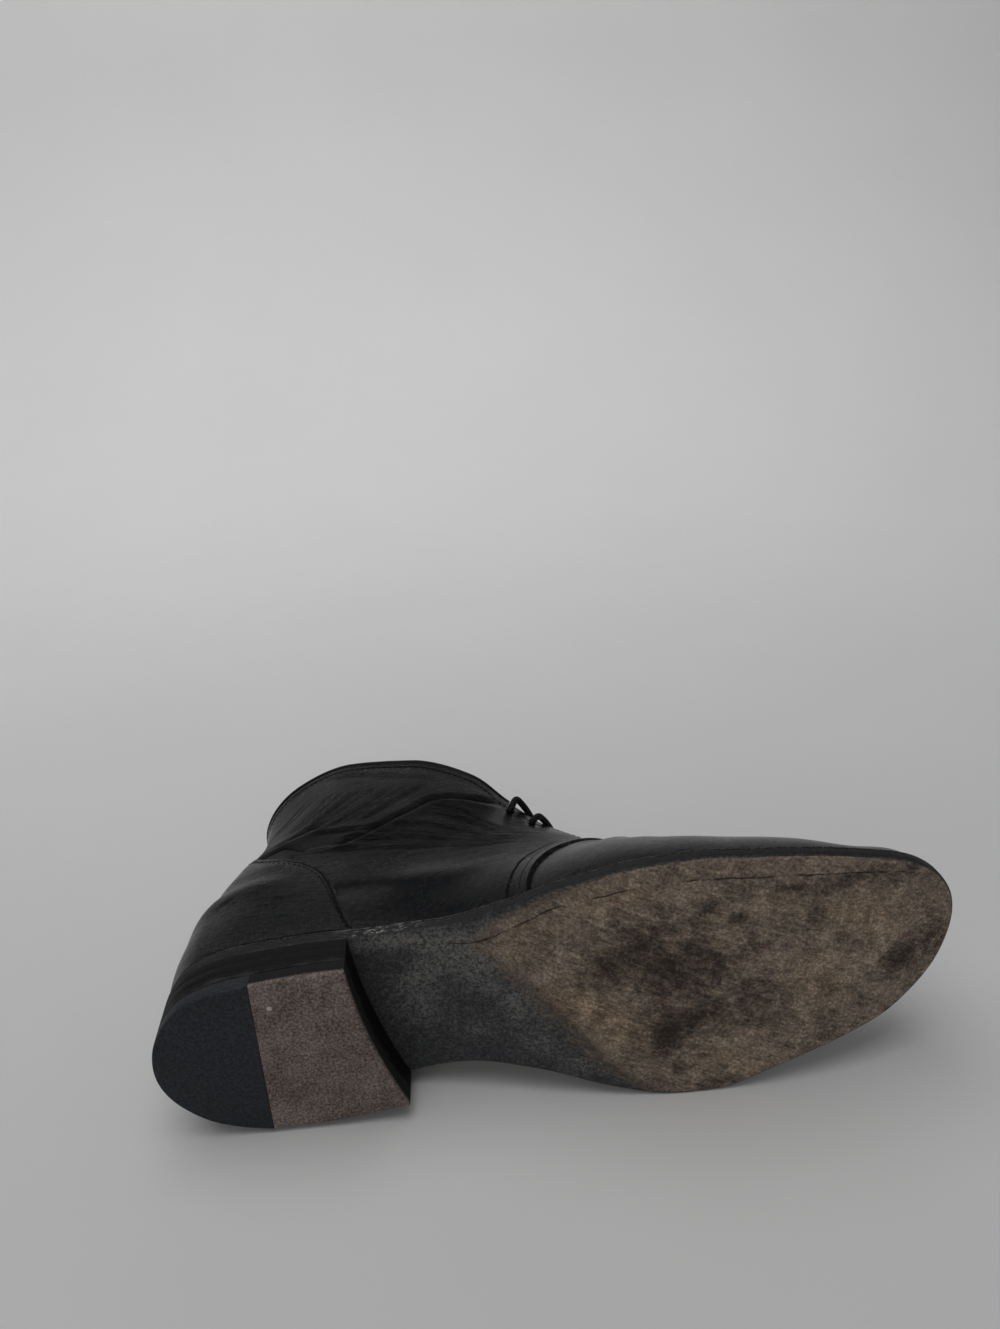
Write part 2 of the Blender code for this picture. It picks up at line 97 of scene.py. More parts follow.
# Half widths of the sole on either side of the heel's centre line
OUTLINE = table(
    "x medial lateral",
    (0, 0, 0), (6, 16.5, 18), (18, 27, 28.5), (36, 33, 32.5), (60, 34.5, 33), (88, 33, 31.5),
    (112, 30, 33.5), (135, 33.5, 40), (160, 42.5, 48), (185, 49.8, 52.3), (202, 51, 52),
    (222, 46.4, 48.8), (246, 41.4, 42.8), (266, 37.3, 35.2), (281, 30, 28), (291, 22, 19.8),
    (297.5, 11.5, 10.5), (300, 0, 0),
)

# Height of the tread: level heel seat, rising waist, flat ball and toe spring
TREAD = table(
    "x height",
    (0, 19.4), (45, 18.05), (90, 16.7), (115, 12.2), (142, 6), (170, 1.4), (192, 0), (214, 0),
    (240, 2.2), (270, 8.3), (300, 17.5),
)

# Ribs of the last from the toe (0) to the back of the heel (16), from the sole up to the top line
TOP_LINE = table(
    "rib foot face top_x mid_y gap top_z sweep",
    (0, 300, 0, 262, 2, 0, 43, 0), (1, 297.5, 35, 262, 2, 0, 43, 0),
    (2, 287, 65, 261, 2, 0, 43.3, 0), (3, 268, 82, 254, 3, 0, 45.5, 0),
    (4, 242, 88, 236, 5, 0, 50.5, 0), (5, 212, 90, 216, 5, 0, 59, -1),
    (6, 178, 90, 199, 4, 0, 71, -5), (7, 143, 90, 182, 3, 0, 86, -12),
    (8, 128, 90, 169, 2, 6, 96.5, -14), (9, 113, 90, 155, 1, 6.5, 109.5, -14),
    (10, 98, 90, 139, 0, 13.5, 123, -10), (11, 81, 90, 124, 0, 26.5, 130, -8),
    (12, 62, 90, 98, 0, 34, 139.5, -6), (13, 40, 95, 69, 0, 34.5, 145.5, -3),
    (14, 22, 118, 42, 0, 26.5, 147, 0), (15, 8, 150, 27, 0, 14, 147, 0),
    (15.6, 1.3, 168, 22.9, 0, 5.8, 147, 0), (16, 0, 180, 22, 0, 0, 147, 0),
)

# How far each rib's curve is pulled at its ends: up and out at the sole, down and out at the top
PULLS = {
    Side.LATERAL: table(
        "rib rise flare fall spread",
        (0, 12, 1, 2, 20), (1, 12, 1, 2, 20), (2, 11, 1, 3, 20), (3, 11, 0.5, 5, 18),
        (4, 21, 0.5, 5, 22), (5, 23, 0.5, 6, 25), (6, 28, 2, 8, 26), (7, 34, 5, 9, 22),
        (8, 38, 7, 14, 19), (9, 42, 8.5, 22, 16), (10, 46, 9, 34, 9), (11, 46, 9, 42, 1),
        (12, 42, 9, 46, -4), (13, 40, 8.5, 46, -4), (14, 42, 8, 42, -7), (15, 40, 7.5, 42, -9),
        (16, 41, 7.5, 40, -10),
    ),
    Side.MEDIAL: table(
        "rib rise flare fall spread",
        (0, 12, 1, 2, 20), (1, 12, 1, 2, 20), (2, 14, 1, 3, 20), (3, 18, 0.5, 4, 19),
        (4, 24, 0.5, 4, 22), (5, 28, 0.5, 6, 24), (6, 32, 2, 8, 24), (7, 36, 5, 9, 22),
        (8, 40, 6, 14, 20), (9, 42, 6, 22, 18), (10, 46, 5, 34, 12), (11, 46, 4, 42, 4),
        (12, 42, 3, 46, -1), (13, 40, 4, 46, -2), (14, 42, 6, 42, -6), (15, 40, 6.5, 42, -9),
        (16, 41, 7.5, 40, -10),
    ),
}

# Height of the counter's top edge along the ribs, from its front corner to the back seam
COUNTER_EDGE = table(
    "rib height",
    (11.2, 27), (11.7, 45), (12.15, 58), (12.7, 68), (13.4, 76), (14.2, 91), (15.2, 111),
    (16, 119),
)

# The two rows of eyelets: their ribs, and how far the lace arches over the throat
LACE_ROWS = table(
    "rib arch",
    (9.15, 2.3), (9.8, 4.5),
)

# Place of the one nail head that shows in the leather lift
NAIL = np.array([47.8, -20.7, 0.0])


def smooth(at: Array, values: Array, x: Array | float) -> Array:
    """Reads a curve through rows that never swings past one of them.

    Args:
        at: Where the rows are.
        values: What they hold.
        x: Where to read.

    Returns:
        The curve's values at x.
    """
    x = np.asarray(x, dtype=float)
    steps = np.diff(at)
    slopes = np.diff(values) / steps
    before, after = slopes[:-1], slopes[1:]
    turns = before * after <= 0
    total = np.where(turns, 1.0, before + after)
    inner = np.where(turns, 0.0, 2 * before * after / total)
    tangents = np.concatenate([slopes[:1], inner, slopes[-1:]])
    row = np.clip(np.searchsorted(at, x) - 1, 0, len(steps) - 1)
    width = steps[row]
    t = (x - at[row]) / width
    start = (1 + 2 * t) * (1 - t) ** 2 * values[row] + t * (1 - t) ** 2 * width * tangents[row]
    end = t * t * (3 - 2 * t) * values[row + 1] + t * t * (t - 1) * width * tangents[row + 1]
    return start + end


def ease(low: float, high: float, x: Array) -> Array:
    """Rises smoothly from 0 at low to 1 at high."""
    t = np.clip((x - low) / (high - low), 0, 1)
    return t * t * (3 - 2 * t)


def bell(x: Array, middle: Array | float, width: float) -> Array:
    """Falls smoothly from 1 at the middle towards 0, past a width on either side."""
    return np.exp(-(((x - middle) / width) ** 2))


def unit(vectors: Array) -> Array:
    """Scales each vector to a length of one."""
    return vectors / np.maximum(np.linalg.norm(vectors, axis=-1, keepdims=True), 1e-9)


def curve_through(points: Array, steps: int) -> Array:
    """Draws a smooth chain of points through a few given ones.

    Args:
        points: The given points, one in each row.
        steps: How many steps there are between two of them.

    Returns:
        The chain's points.
    """
    points = np.asarray(points, dtype=float)
    ends = [2 * points[0] - points[1], *points, 2 * points[-1] - points[-2]]
    chain = []
    for a, b, c, d in zip(ends, ends[1:], ends[2:], ends[3:]):
        for t in np.linspace(0, 1, steps, endpoint=False):
            bend = (2 * a - 5 * b + 4 * c - d) * t * t + (3 * b - a - 3 * c + d) * t**3
            chain.append(b + ((c - a) * t + bend) / 2)
    return np.array([*chain, points[-1]])


def run_along(points: Array) -> Array:
    """How far along a chain each of its points lies."""
    return np.concatenate([[0], np.cumsum(np.linalg.norm(np.diff(points, axis=0), axis=1))])


def points_at(wanted: Array, lengths: Array, points: Array) -> Array:
    """Points of a chain at wanted lengths along it."""
    return np.stack([np.interp(wanted, lengths, axis) for axis in points.T], axis=1)


def even_points(points: Array, pitch: float) -> Array:
    """Walks along a chain of points.

    Args:
        points: The chain.
        pitch: The wanted step.

    Returns:
        Points at even steps near the pitch.
    """
    lengths = run_along(points)
    count = max(int(round(lengths[-1] / pitch)), 2)
    return points_at(np.linspace(0, lengths[-1], count + 1), lengths, points)


def climb(grid: Array) -> Array:
    """How far up its column each point of a grid lies."""
    return np.cumsum(np.linalg.norm(np.diff(grid, axis=0, prepend=grid[:1]), axis=2), axis=0)


def side_by_side(parts: list[Rows]) -> Rows:
    """Joins the grids of numbers of both sides."""
    return {name: np.concatenate([part[name] for part in parts], axis=1) for name in parts[0]}


def near_chain(points: Array, chain: Array) -> tuple[Array, Array, Array]:
    """Measures how far points are from a chain.

    Args:
        points: The points, in rows.
        chain: The chain's own points.

    Returns:
        The distance of each point, how far along the chain its nearest place is, from 0 to 1, and
        the vector from that place.
    """
    best = np.full(len(points), np.inf)
    along = np.zeros(len(points))
    offset = np.zeros_like(points)
    count = len(chain) - 1
    for number, (a, b) in enumerate(zip(chain, chain[1:])):
        step = b - a
        t = np.clip((points - a) @ step / max(step @ step, 1e-12), 0, 1)
        away = points - (a + t[:, None] * step)
        distance = np.linalg.norm(away, axis=1)
        closer = distance < best
        best[closer] = distance[closer]
        along[closer] = (number + t[closer]) / count
        offset[closer] = away[closer]
    return best, along, offset


@dataclass(frozen=True)
class Last:
    """The form that the boot was made on, as ribs from the sole to the top line."""

    sole_length: float = 300.0
    sole_thickness: float = 5.5
    sole_lip: float = 2.2
    gap: float = 0.3
    vamp_wall: float = 1.8
    quarter_step: float = 1.2
    step_ribs: tuple[float, float] = (6.975, 6.998)
    foot_ribs: tuple[float, float] = (6.2, 7.0)
    collar_rib: float = 10.0
    back_rib: float = 16.0
    mid_height: float = 0.45

    @property
    def quarter_wall(self) -> float:
        """Thickness of the wall where the quarter lies over the vamp."""
        return self.vamp_wall + self.quarter_step

    def tread(self, x: Array) -> Array:
        """Height of the outsole's underside."""
        return smooth(TREAD["x"], TREAD["height"], x)

    def seat(self, x: Array) -> Array:
        """Height of the outsole's upper face."""
        return self.tread(x) + self.sole_thickness

    def edge_angle(self, x: Array) -> Array:
        """Angle round the sole for a place along it: 0 at the heel's back, pi at the toe."""
        return np.arccos(1 - 2 * np.clip(np.asarray(x) / self.sole_length, 0, 1))

    def edge(self, angle: Array, side: Side) -> Array:
        """Finds the sole's edge, seen from above.

        Args:
            angle: Angles round the sole.
            side: The side of the boot.

        Returns:
            The x and y of each place.
        """
        angle = np.asarray(angle, dtype=float)
        x = self.sole_length * (1 - np.cos(angle)) / 2
        half = smooth(self.edge_angle(OUTLINE["x"]), OUTLINE[side.name.lower()], angle)
        return np.stack([x, side.value * half], axis=-1)

    def inset_edge(self, angle: Array, side: Side, inset: Array | float) -> Array:
        """Moves the sole's edge square to itself, towards the inside.

        Args:
            angle: Angles round the sole.
            side: The side of the boot.
            inset: How far it moves.

        Returns:
            The x and y of each place.
        """
        step = 0.01
        before = self.edge(np.maximum(angle - step, 0), side)
        after = self.edge(np.minimum(angle + step, math.pi), side)
        along = unit(after - before)
        inwards = side.value * np.stack([along[..., 1], -along[..., 0]], axis=-1)
        return self.edge(angle, side) + np.asarray(inset)[..., None] * inwards

    def wall(self, rib: Array) -> Array:
        """Thickness of the upper, with a step at the quarters' front edge."""
        start, end = self.step_ribs
        return self.vamp_wall + self.quarter_step * np.clip((np.asarray(rib) - start) / (end - start), 0, 1)

    def foot_wall(self, rib: Array) -> Array:
        """Room for the wall at the sole, which eases from the vamp's to the quarters'."""
        return self.vamp_wall + self.quarter_step * ease(*self.foot_ribs, np.asarray(rib, dtype=float))

    def corners(self, rib: Array, side: Side) -> tuple[Array, Array, Array, Array]:
        """Finds the four control points of ribs.

        Args:
            rib: The rib numbers.
            side: The side of the boot.

        Returns:
            The control points, from the sole to the top line.
        """
        rib = np.asarray(rib, dtype=float)
        line = {name: smooth(TOP_LINE["rib"], TOP_LINE[name], rib) for name in TOP_LINE}
        rows = PULLS[side]
        pull = {name: smooth(rows["rib"], rows[name], rib) for name in rows}
        face = np.radians(line["face"])
        out = np.stack([np.cos(face), side.value * np.sin(face), np.zeros_like(face)], axis=-1)
        up = np.array([0.0, 0.0, 1.0])
        wall = self.foot_wall(rib)
        foot_angle = smooth(TOP_LINE["rib"], self.edge_angle(TOP_LINE["foot"]), rib)
        inner = self.inset_edge(foot_angle, side, self.sole_lip + wall)
        outer = self.inset_edge(foot_angle, side, np.full_like(rib, self.sole_lip))
        lean = wall * pull["flare"] / np.hypot(pull["rise"], pull["flare"])
        floor = np.maximum(self.seat(inner[..., 0]), self.seat(outer[..., 0])) + self.gap + lean
        foot = np.stack([inner[..., 0], inner[..., 1], floor], axis=-1)
        across = line["mid_y"] + side.value * line["gap"]
        top = np.stack([line["top_x"], across, line["top_z"]], axis=-1)
        foot_pull = pull["flare"][..., None] * out + pull["rise"][..., None] * up
        sweep = line["sweep"][..., None] * np.array([1.0, 0.0, 0.0])
        top_pull = pull["spread"][..., None] * out + sweep - pull["fall"][..., None] * up
        return foot, foot + foot_pull, top + top_pull, top

    def point(self, rib: Array, side: Side, v: Array) -> Array:
        """Finds points of the last.

        Args:
            rib: The rib numbers.
            side: The side of the boot.
            v: How far up the rib, from the sole (0) to the top line (1).

        Returns:
            The points.
        """
        a, b, c, d = self.corners(rib, side)
        v = np.asarray(v, dtype=float)[..., None]
        w = 1 - v
        return w**3 * a + 3 * w * w * v * b + 3 * w * v * v * c + v**3 * d

    def point_past(self, rib: Array, side: Side, v: Array) -> Array:
        """Finds points of the last, where ribs past the toe or the back lie on the other side.

        Args:
            rib: The rib numbers, which may run over either end.
            side: The side of the boot.
            v: How far up the rib.

        Returns:
            The points.
        """
        folded = self.back_rib - np.abs(self.back_rib - np.abs(rib))
        within = (rib >= 0) & (rib <= self.back_rib)
        own, other = (self.point(folded, on, v) for on in (side, side.other))
        return np.where(within[..., None], own, other)

    def normal(self, rib: Array, side: Side, v: Array) -> Array:
        """Finds the unit vectors out of the last.

        Args:
            rib: The rib numbers.
            side: The side of the boot.
            v: How far up the rib.

        Returns:
            The vectors.
        """
        step = 0.02
        rib = np.asarray(rib, dtype=float)
        v = np.asarray(v, dtype=float)
        up = self.point(rib, side, np.minimum(v + step, 1)) - self.point(rib, side, np.maximum(v - step, 0))
        ahead = self.point_past(rib - step, side, v)
        behind = self.point_past(rib + step, side, v)
        return unit(np.cross(ahead - behind, up) * -side.value)

    def off(self, rib: Array, side: Side, v: Array, distance: Array | float) -> Array:
        """Finds points at a distance outside the last, negative inside."""
        distance = np.asarray(distance, dtype=float)
        return self.point(rib, side, v) + distance[..., None] * self.normal(rib, side, v)

    def height_on_rib(self, rib: Array, side: Side, height: Array) -> Array:
        """Finds how far up ribs reach a height above the tread.

        Args:
            rib: The rib numbers.
            side: The side of the boot.
            height: The wanted heights.

        Returns:
            The share of each rib.
        """
        low = np.zeros_like(np.asarray(rib, dtype=float))
        high = np.ones_like(low)
        for _ in range(30):
            middle = (low + high) / 2
            under = self.point(rib, side, middle)[..., 2] < height
            low = np.where(under, middle, low)
            high = np.where(under, high, middle)
        return low

    def down_from_top(self, rib: Array, side: Side, distance: float) -> Array:
        """How far up a rib lies the point at a distance below the top line."""
        corners = self.corners(rib, side)
        return 1 - distance / (3 * np.linalg.norm(corners[3] - corners[2], axis=-1))

    def even_ribs(self, start: float, end: float, pitch: float) -> Array:
        """Spaces ribs evenly along the boot.

        Args:
            start: The first rib.
            end: The last rib.
            pitch: The wanted step at mid height, in millimetres.

        Returns:
            The rib numbers.
        """
        fine = np.linspace(start, end, 800)
        middle = self.off(fine, Side.LATERAL, np.full_like(fine, self.mid_height), self.wall(fine))
        lengths = run_along(middle)
        count = int(lengths[-1] / pitch) + 1
        return np.interp(np.linspace(0, lengths[-1], count), lengths, fine)


@dataclass(frozen=True)
class BootFrame:
    """Where the boot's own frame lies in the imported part."""

    turn: Array
    origin: Array
    heel_tread: Triple = (62.0, 2.0, 0.0)
    forefoot_tread: Triple = (203.5, 0.0, 0.0)

    @classmethod
    def from_record(cls, record: dict) -> BootFrame:
        """Works the frame out from the two treads.

        Args:
            record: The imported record.

        Returns:
            The frame.
        """
        mounts = {mount["name"]: mount for mount in record["mounts"]}
        heel = np.array(mounts["heel_tread"]["pos_m"])
        fore = np.array(mounts["forefoot_tread"]["pos_m"])
        up = unit(-np.array(mounts["heel_tread"]["axis"]))
        own_heel = np.array(cls.heel_tread)
        own_fore = np.array(cls.forefoot_tread)
        own_up = np.array([0.0, 0.0, 1.0])
        along = fore - heel
        along = unit(along - (along @ up) * up)
        own_along = unit(own_fore - own_heel)
        turn = (
            np.outer(along, own_along)
            + np.outer(np.cross(up, along), np.cross(own_up, own_along))
            + np.outer(up, own_up)
        )
        return cls(turn, fore - turn @ own_fore * MM)

    def place(self, points: Array) -> Array:
        """Row metres of points in boot millimetres."""
        return np.asarray(points) @ self.turn.T * MM + self.origin

    def aim(self, vectors: Array) -> Array:
        """Row directions of directions in the boot's frame."""
        return np.asarray(vectors) @ self.turn.T


class Workshop:
    """Modelling steps that every sub-assembly uses."""

    # Points closer than this, in millimetres, are one
    WELD = 0.004
    # A direction along which no cord or binding starts
    ASIDE = (0.31, 0.2, 0.93)

    def __init__(self, frame: BootFrame) -> None:
        """Keeps the frame that places the pieces."""
        self.frame = frame

    @staticmethod
    def deselect() -> None:
        """Leaves nothing selected or active."""
        for item in bpy.context.view_layer.objects:
            item.select_set(False)
        bpy.context.view_layer.objects.active = None

    @staticmethod
    def pick(made: Object) -> None:
        """Selects one object alone and makes it active.

        Args:
            made: The object.
        """
        Workshop.deselect()
        made.select_set(True)
        bpy.context.view_layer.objects.active = made

    @staticmethod
    def store(made: Object, fields: dict[str, Array]) -> None:
        """Keeps a number for every point of a mesh.

        Args:
            made: The object.
            fields: The numbers by name, in the order of the mesh's points.
        """
        for name, values in fields.items():
            layer = made.data.attributes.new(name, "FLOAT", "POINT")
            layer.data.foreach_set("value", np.asarray(values, dtype=np.float32).ravel())

    def sheet(self, name: str, points: Array, fields: dict[str, Array] | None = None) -> Object:
        """Lays a grid primitive over a surface and welds where it meets itself.

        Args:
            name: The piece's name.
            points: Rows and columns of points in boot millimetres.
            fields: Numbers to keep for every point.

        Returns:
            The object, at the origin.
        """
        rows, columns = points.shape[:2]
        self.deselect()
        bpy.ops.mesh.primitive_grid_add(x_subdivisions=columns - 1, y_subdivisions=rows - 1, size=1)
        made = bpy.context.object
        made.name = name
        made.data.name = name
        placed = self.frame.place(points.reshape(-1, 3))
        made.data.vertices.foreach_set("co", placed.astype(np.float32).ravel())
        self.store(made, fields or {})
        while made.data.uv_layers:
            made.data.uv_layers.remove(made.data.uv_layers[0])
        self.weld(made)
        return made

    def weld(self, made: Object) -> None:
        """Merges points in one place.

        Args:
            made: The object.
        """
        self.pick(made)
        bpy.ops.object.mode_set(mode="EDIT")
        bpy.ops.mesh.select_all(action="SELECT")
        bpy.ops.mesh.remove_doubles(threshold=self.WELD * MM)
        bpy.ops.object.mode_set(mode="OBJECT")

    def tube(self, name: str, rings: Array, fields: dict[str, Array] | None = None) -> Object:
        """Lofts closed rings and caps both ends.

        Args:
            name: The piece's name.
            rings: Rings of points, without the first point again at the end.
            fields: Numbers to keep for every point of the rings.

        Returns:
            The closed object, with its faces outwards.
        """
        closed = np.concatenate([rings, rings[:, :1]], axis=1)
        wrapped = {
            key: np.concatenate([np.asarray(values), np.asarray(values)[:, :1]], axis=1)
            for key, values in (fields or {}).items()
        }
        made = self.sheet(name, closed, wrapped)
        bpy.ops.object.mode_set(mode="EDIT")
        bpy.ops.mesh.select_all(action="DESELECT")
        bpy.ops.mesh.select_mode(type="EDGE")
        bpy.ops.mesh.select_non_manifold(extend=False)
        bpy.ops.mesh.fill_holes(sides=0)
        bpy.ops.mesh.select_all(action="SELECT")
        bpy.ops.mesh.normals_make_consistent(inside=False)
        bpy.ops.mesh.select_mode(type="VERT")
        bpy.ops.object.mode_set(mode="OBJECT")
        return made

    def modify(self, made: Object, kind: str, **settings: object) -> None:
        """Adds a modifier and applies it.

        Args:
            made: The object.
            kind: The modifier's type.
            settings: Its settings by name.
        """
        self.pick(made)
        modifier = made.modifiers.new(kind.title(), kind)
        for key, value in settings.items():
            setattr(modifier, key, value)
        bpy.ops.object.modifier_apply(modifier=modifier.name)

    def shade(self, made: Object, angle: float = 40.0) -> None:
        """Shades smooth, with creases sharper than an angle in degrees left sharp."""
        self.pick(made)
        bpy.ops.object.shade_smooth_by_angle(angle=math.radians(angle))

    def round_tube(self, name: str, path: Array, radius: float, sides: int) -> Object:
        """Sweeps a round section along a path.

        Args:
            name: The piece's name.
            path: Points in boot millimetres.
            radius: Half the section's width.
            sides: Points round the section.

        Returns:
            The closed object, with run and turn kept at every point.
        """
        along = unit(np.gradient(path, axis=0))
        up = np.zeros_like(path)
        up[0] = unit(np.cross(along[0], np.array(self.ASIDE)))
        for number in range(1, len(path)):
            carried = up[number - 1] - (up[number - 1] @ along[number]) * along[number]
            up[number] = unit(carried)
        over = np.cross(along, up)
        angle = np.linspace(0, 2 * math.pi, sides, endpoint=False)
        turn = angle[None, :, None]
        ring = np.cos(turn) * up[:, None] + np.sin(turn) * over[:, None]
        fields = {
            "run": np.repeat(run_along(path)[:, None], sides, axis=1),
            "turn": np.repeat(angle[None], len(path), axis=0),
        }
        return self.tube(name, path[:, None] + radius * ring, fields)

    def studs(self, name: str, centres: Array, along: Array, up: Array, size: Triple) -> Object:
        """Copies one small rounded form to many places and joins the copies.

        Args:
            name: The piece's name.
            centres: Places in boot millimetres.
            along: Direction of each form's length.
            up: Direction out of the surface.
            size: Half length, half width and half height.

        Returns:
            The joined object.
        """
        self.deselect()
        bpy.ops.mesh.primitive_uv_sphere_add(segments=8, ring_count=5, radius=1)
        made = bpy.context.object
        form = np.empty(len(made.data.vertices) * 3)
        made.data.vertices.foreach_get("co", form)
        form = form.reshape(-1, 3) * np.array(size)
        faces = [tuple(polygon.vertices) for polygon in made.data.polygons]
        along = unit(along - np.sum(along * up, axis=1, keepdims=True) * up)
        over = np.cross(up, along)
        axes = np.stack([along, over, up], axis=1)
        points = centres[:, None] + np.einsum("pk,nkd->npd", form, axes)
        mesh = bpy.data.meshes.new(name)
        starts = range(0, len(form) * len(centres), len(form))
        joined = [tuple(start + corner for corner in face) for start in starts for face in faces]
        mesh.from_pydata(self.frame.place(points.reshape(-1, 3)).tolist(), [], joined)
        made.data = mesh
        made.name = name
        self.shade(made, 60)
        return made

    @staticmethod
    def dress(made: Object, *materials: Material) -> None:
        """Gives a piece its materials.

        Args:
            made: The piece.
            materials: The materials, in the order of its slots.
        """
        made.data.materials.clear()
        for material in materials:
            made.data.materials.append(material)

    @staticmethod
    def hand_over(made: Object, slot: str, *nodes: str) -> None:
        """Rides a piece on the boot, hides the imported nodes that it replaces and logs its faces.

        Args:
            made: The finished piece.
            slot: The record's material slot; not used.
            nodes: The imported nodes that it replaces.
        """
        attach(made, BODY)
        if nodes:
            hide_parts(*nodes)
        LOG.info("%s: %d faces", made.name, len(made.data.polygons))


class Signal:
    """A number, vector or colour inside a material, so that sums read as plain arithmetic."""

    def __init__(self, board: NodeBoard, socket: Socket) -> None:
        """Keeps the board and the output that carries the signal."""
        self.board = board
        self.socket = socket

    def __add__(self, other: Number) -> Signal:
        """Sum of two numbers."""
        return self.board.calc("ADD", self, other)

    def __sub__(self, other: Number) -> Signal:
        """Difference of two numbers."""
        return self.board.calc("SUBTRACT", self, other)

    def __mul__(self, other: Number) -> Signal:
        """Product of two numbers."""
        return self.board.calc("MULTIPLY", self, other)

    def __abs__(self) -> Signal:
        """Size of a number, without its sign."""
        return self.board.calc("ABSOLUTE", self)

    def clamped(self) -> Signal:
        """The number, kept from 0 to 1."""
        return self.board.calc("ADD", self, 0.0, True)

    def span(self, low: float, high: float, start: float = 0.0, end: float = 1.0) -> Signal:
        """Maps the range from low to high smoothly on to that from start to end."""
        inputs = {"Value": self, "From Min": low, "From Max": high, "To Min": start, "To Max": end}
        return self.board.add("ShaderNodeMapRange", inputs, "Result", interpolation_type="SMOOTHSTEP")


Number = Signal | float
Tint = Signal | Triple


class NodeBoard:
    """Node tree of one material, with short calls that add and link its nodes."""

    def __init__(self, name: str) -> None:
        """Starts a material with a Principled shader.

        Args:
            name: The material's name.
        """
        self.material = bpy.data.materials.new(name)
        self.material.use_nodes = True
        self.nodes = self.material.node_tree.nodes
        self.links = self.material.node_tree.links
        self.shader = self.nodes["Principled BSDF"]

    def feed(self, socket: Socket, value: object) -> None:
        """Links a signal to an input, or sets the input to a constant.

        Args:
            socket: The input.
            value: The signal or the constant.
        """
        if isinstance(value, Signal):
            self.links.new(value.socket, socket)
        elif socket.type == "RGBA":
            socket.default_value = (*value, 1)
        else:
            socket.default_value = value

    def add(self, kind: str, inputs: dict, output: str | int, **settings: object) -> Signal:
        """Adds a node.

        Args:
            kind: Its type.
            inputs: Signals and constants for its inputs.
            output: The output to use.
            settings: Its settings.

        Returns:
            The output's signal.
        """
        node = self.nodes.new(kind)
        for key, value in settings.items():
            setattr(node, key, value)
        for key, value in inputs.items():
            self.feed(node.inputs[key], value)
        return Signal(self, node.outputs[output])

    def calc(self, operation: str, first: Number, second: Number = 0.0, clamp: bool = False) -> Signal:
        """Adds a Math node."""
        return self.add("ShaderNodeMath", {0: first, 1: second}, 0, operation=operation, use_clamp=clamp)

    def place(self) -> Signal:
        """Object coordinates in millimetres."""
        own = self.add("ShaderNodeTexCoord", {}, "Object")
        return self.add("ShaderNodeVectorMath", {0: own, "Scale": 1 / MM}, 0, operation="SCALE")

    def away(self, vector: Signal, spot: Triple) -> Signal:
        """Distance of a vector from one spot."""
        return self.add("ShaderNodeVectorMath", {0: vector, 1: spot}, "Value", operation="DISTANCE")

    def kept(self, name: str) -> Signal:
        """A number that the mesh keeps for every point."""
        return self.add("ShaderNodeAttribute", {}, "Fac", attribute_name=name)

    def stretch(self, vector: Signal, factors: Triple, turn: Triple = (0, 0, 0)) -> Signal:
        """Turns a vector, then scales it.

        Args:
            vector: The vector.
            factors: The scale along each axis.
            turn: The angles about each axis, in degrees.

        Returns:
            The new vector.
        """
        angles = tuple(math.radians(angle) for angle in turn)
        turned = self.add("ShaderNodeMapping", {"Vector": vector, "Rotation": angles}, 0)
        return self.add("ShaderNodeMapping", {"Vector": turned, "Scale": factors}, 0)

    def noise(
        self, vector: Signal, scale: float, detail: float = 4.0, rough: float = 0.6, twist: float = 0.0
    ) -> Signal:
        """Noise from 0 to 1, with waves for each unit, octaves, the finer ones' strength and a twist."""
        inputs = {"Vector": vector, "Scale": scale, "Detail": detail, "Roughness": rough, "Distortion": twist}
        return self.add("ShaderNodeTexNoise", inputs, "Fac")

    def cells(self, vector: Signal, scale: float, feature: str = "F1") -> Signal:
        """Distance inside Voronoi cells."""
        inputs = {"Vector": vector, "Scale": scale}
        return self.add("ShaderNodeTexVoronoi", inputs, "Distance", feature=feature)

    def blend(self, share: Signal, first: Tint, second: Tint, mode: str = "MIX") -> Signal:
        """Mixes a share of the second colour into the first."""
        inputs = {"Factor": share, 6: first, 7: second}
        return self.add("ShaderNodeMix", inputs, 2, data_type="RGBA", blend_type=mode)

    def ramp(self, value: Signal, *stops: tuple[float, Triple]) -> Signal:
        """Adds a colour ramp.

        Args:
            value: The number to look up.
            stops: Places and colours.

        Returns:
            The colour.
        """
        colour = self.add("ShaderNodeValToRGB", {"Fac": value}, "Color")
        stripes = colour.socket.node.color_ramp.elements
        while len(stripes) < len(stops):
            stripes.new(0.5)
        for stripe, (at, tint) in zip(stripes, stops):
            stripe.position = at
            stripe.color = (*tint, 1)
        return colour

    def bump(self, height: Signal, depth: float, strength: float, under: Signal | None = None) -> Signal:
        """Adds a bump.

        Args:
            height: The relief, from 0 to 1.
            depth: How deep it is, in millimetres.
            strength: How much of it shows.
            under: A bump below this one.

        Returns:
            The normal.
        """
        inputs = {"Strength": strength, "Distance": depth * MM, "Height": height}
        if under is not None:
            inputs["Normal"] = under
        return self.add("ShaderNodeBump", inputs, "Normal")

    def close(
        self, colour: Tint, rough: Number, normal: Signal | None = None, specular: float = 0.5
    ) -> Material:
        """Feeds the shader.

        Args:
            colour: Base colour.
            rough: Roughness.
            normal: Normal, if there is one.
            specular: Specular level.

        Returns:
            The material.
        """
        inputs = {"Base Color": colour, "Roughness": rough, "Specular IOR Level": specular}
        if normal is not None:
            inputs["Normal"] = normal
        for name, value in inputs.items():
            self.feed(self.shader.inputs[name], value)
        return self.material


@dataclass(frozen=True)
class Finish(ABC):
    """What every finish has: a name, and nodes that it lays out on a board."""

    name: str

    def make(self) -> Material:
        """The finished material."""
        return self.lay(NodeBoard(self.name))

    @abstractmethod
    def lay(self, board: NodeBoard) -> Material:
        """Lays the nodes out and closes the material."""


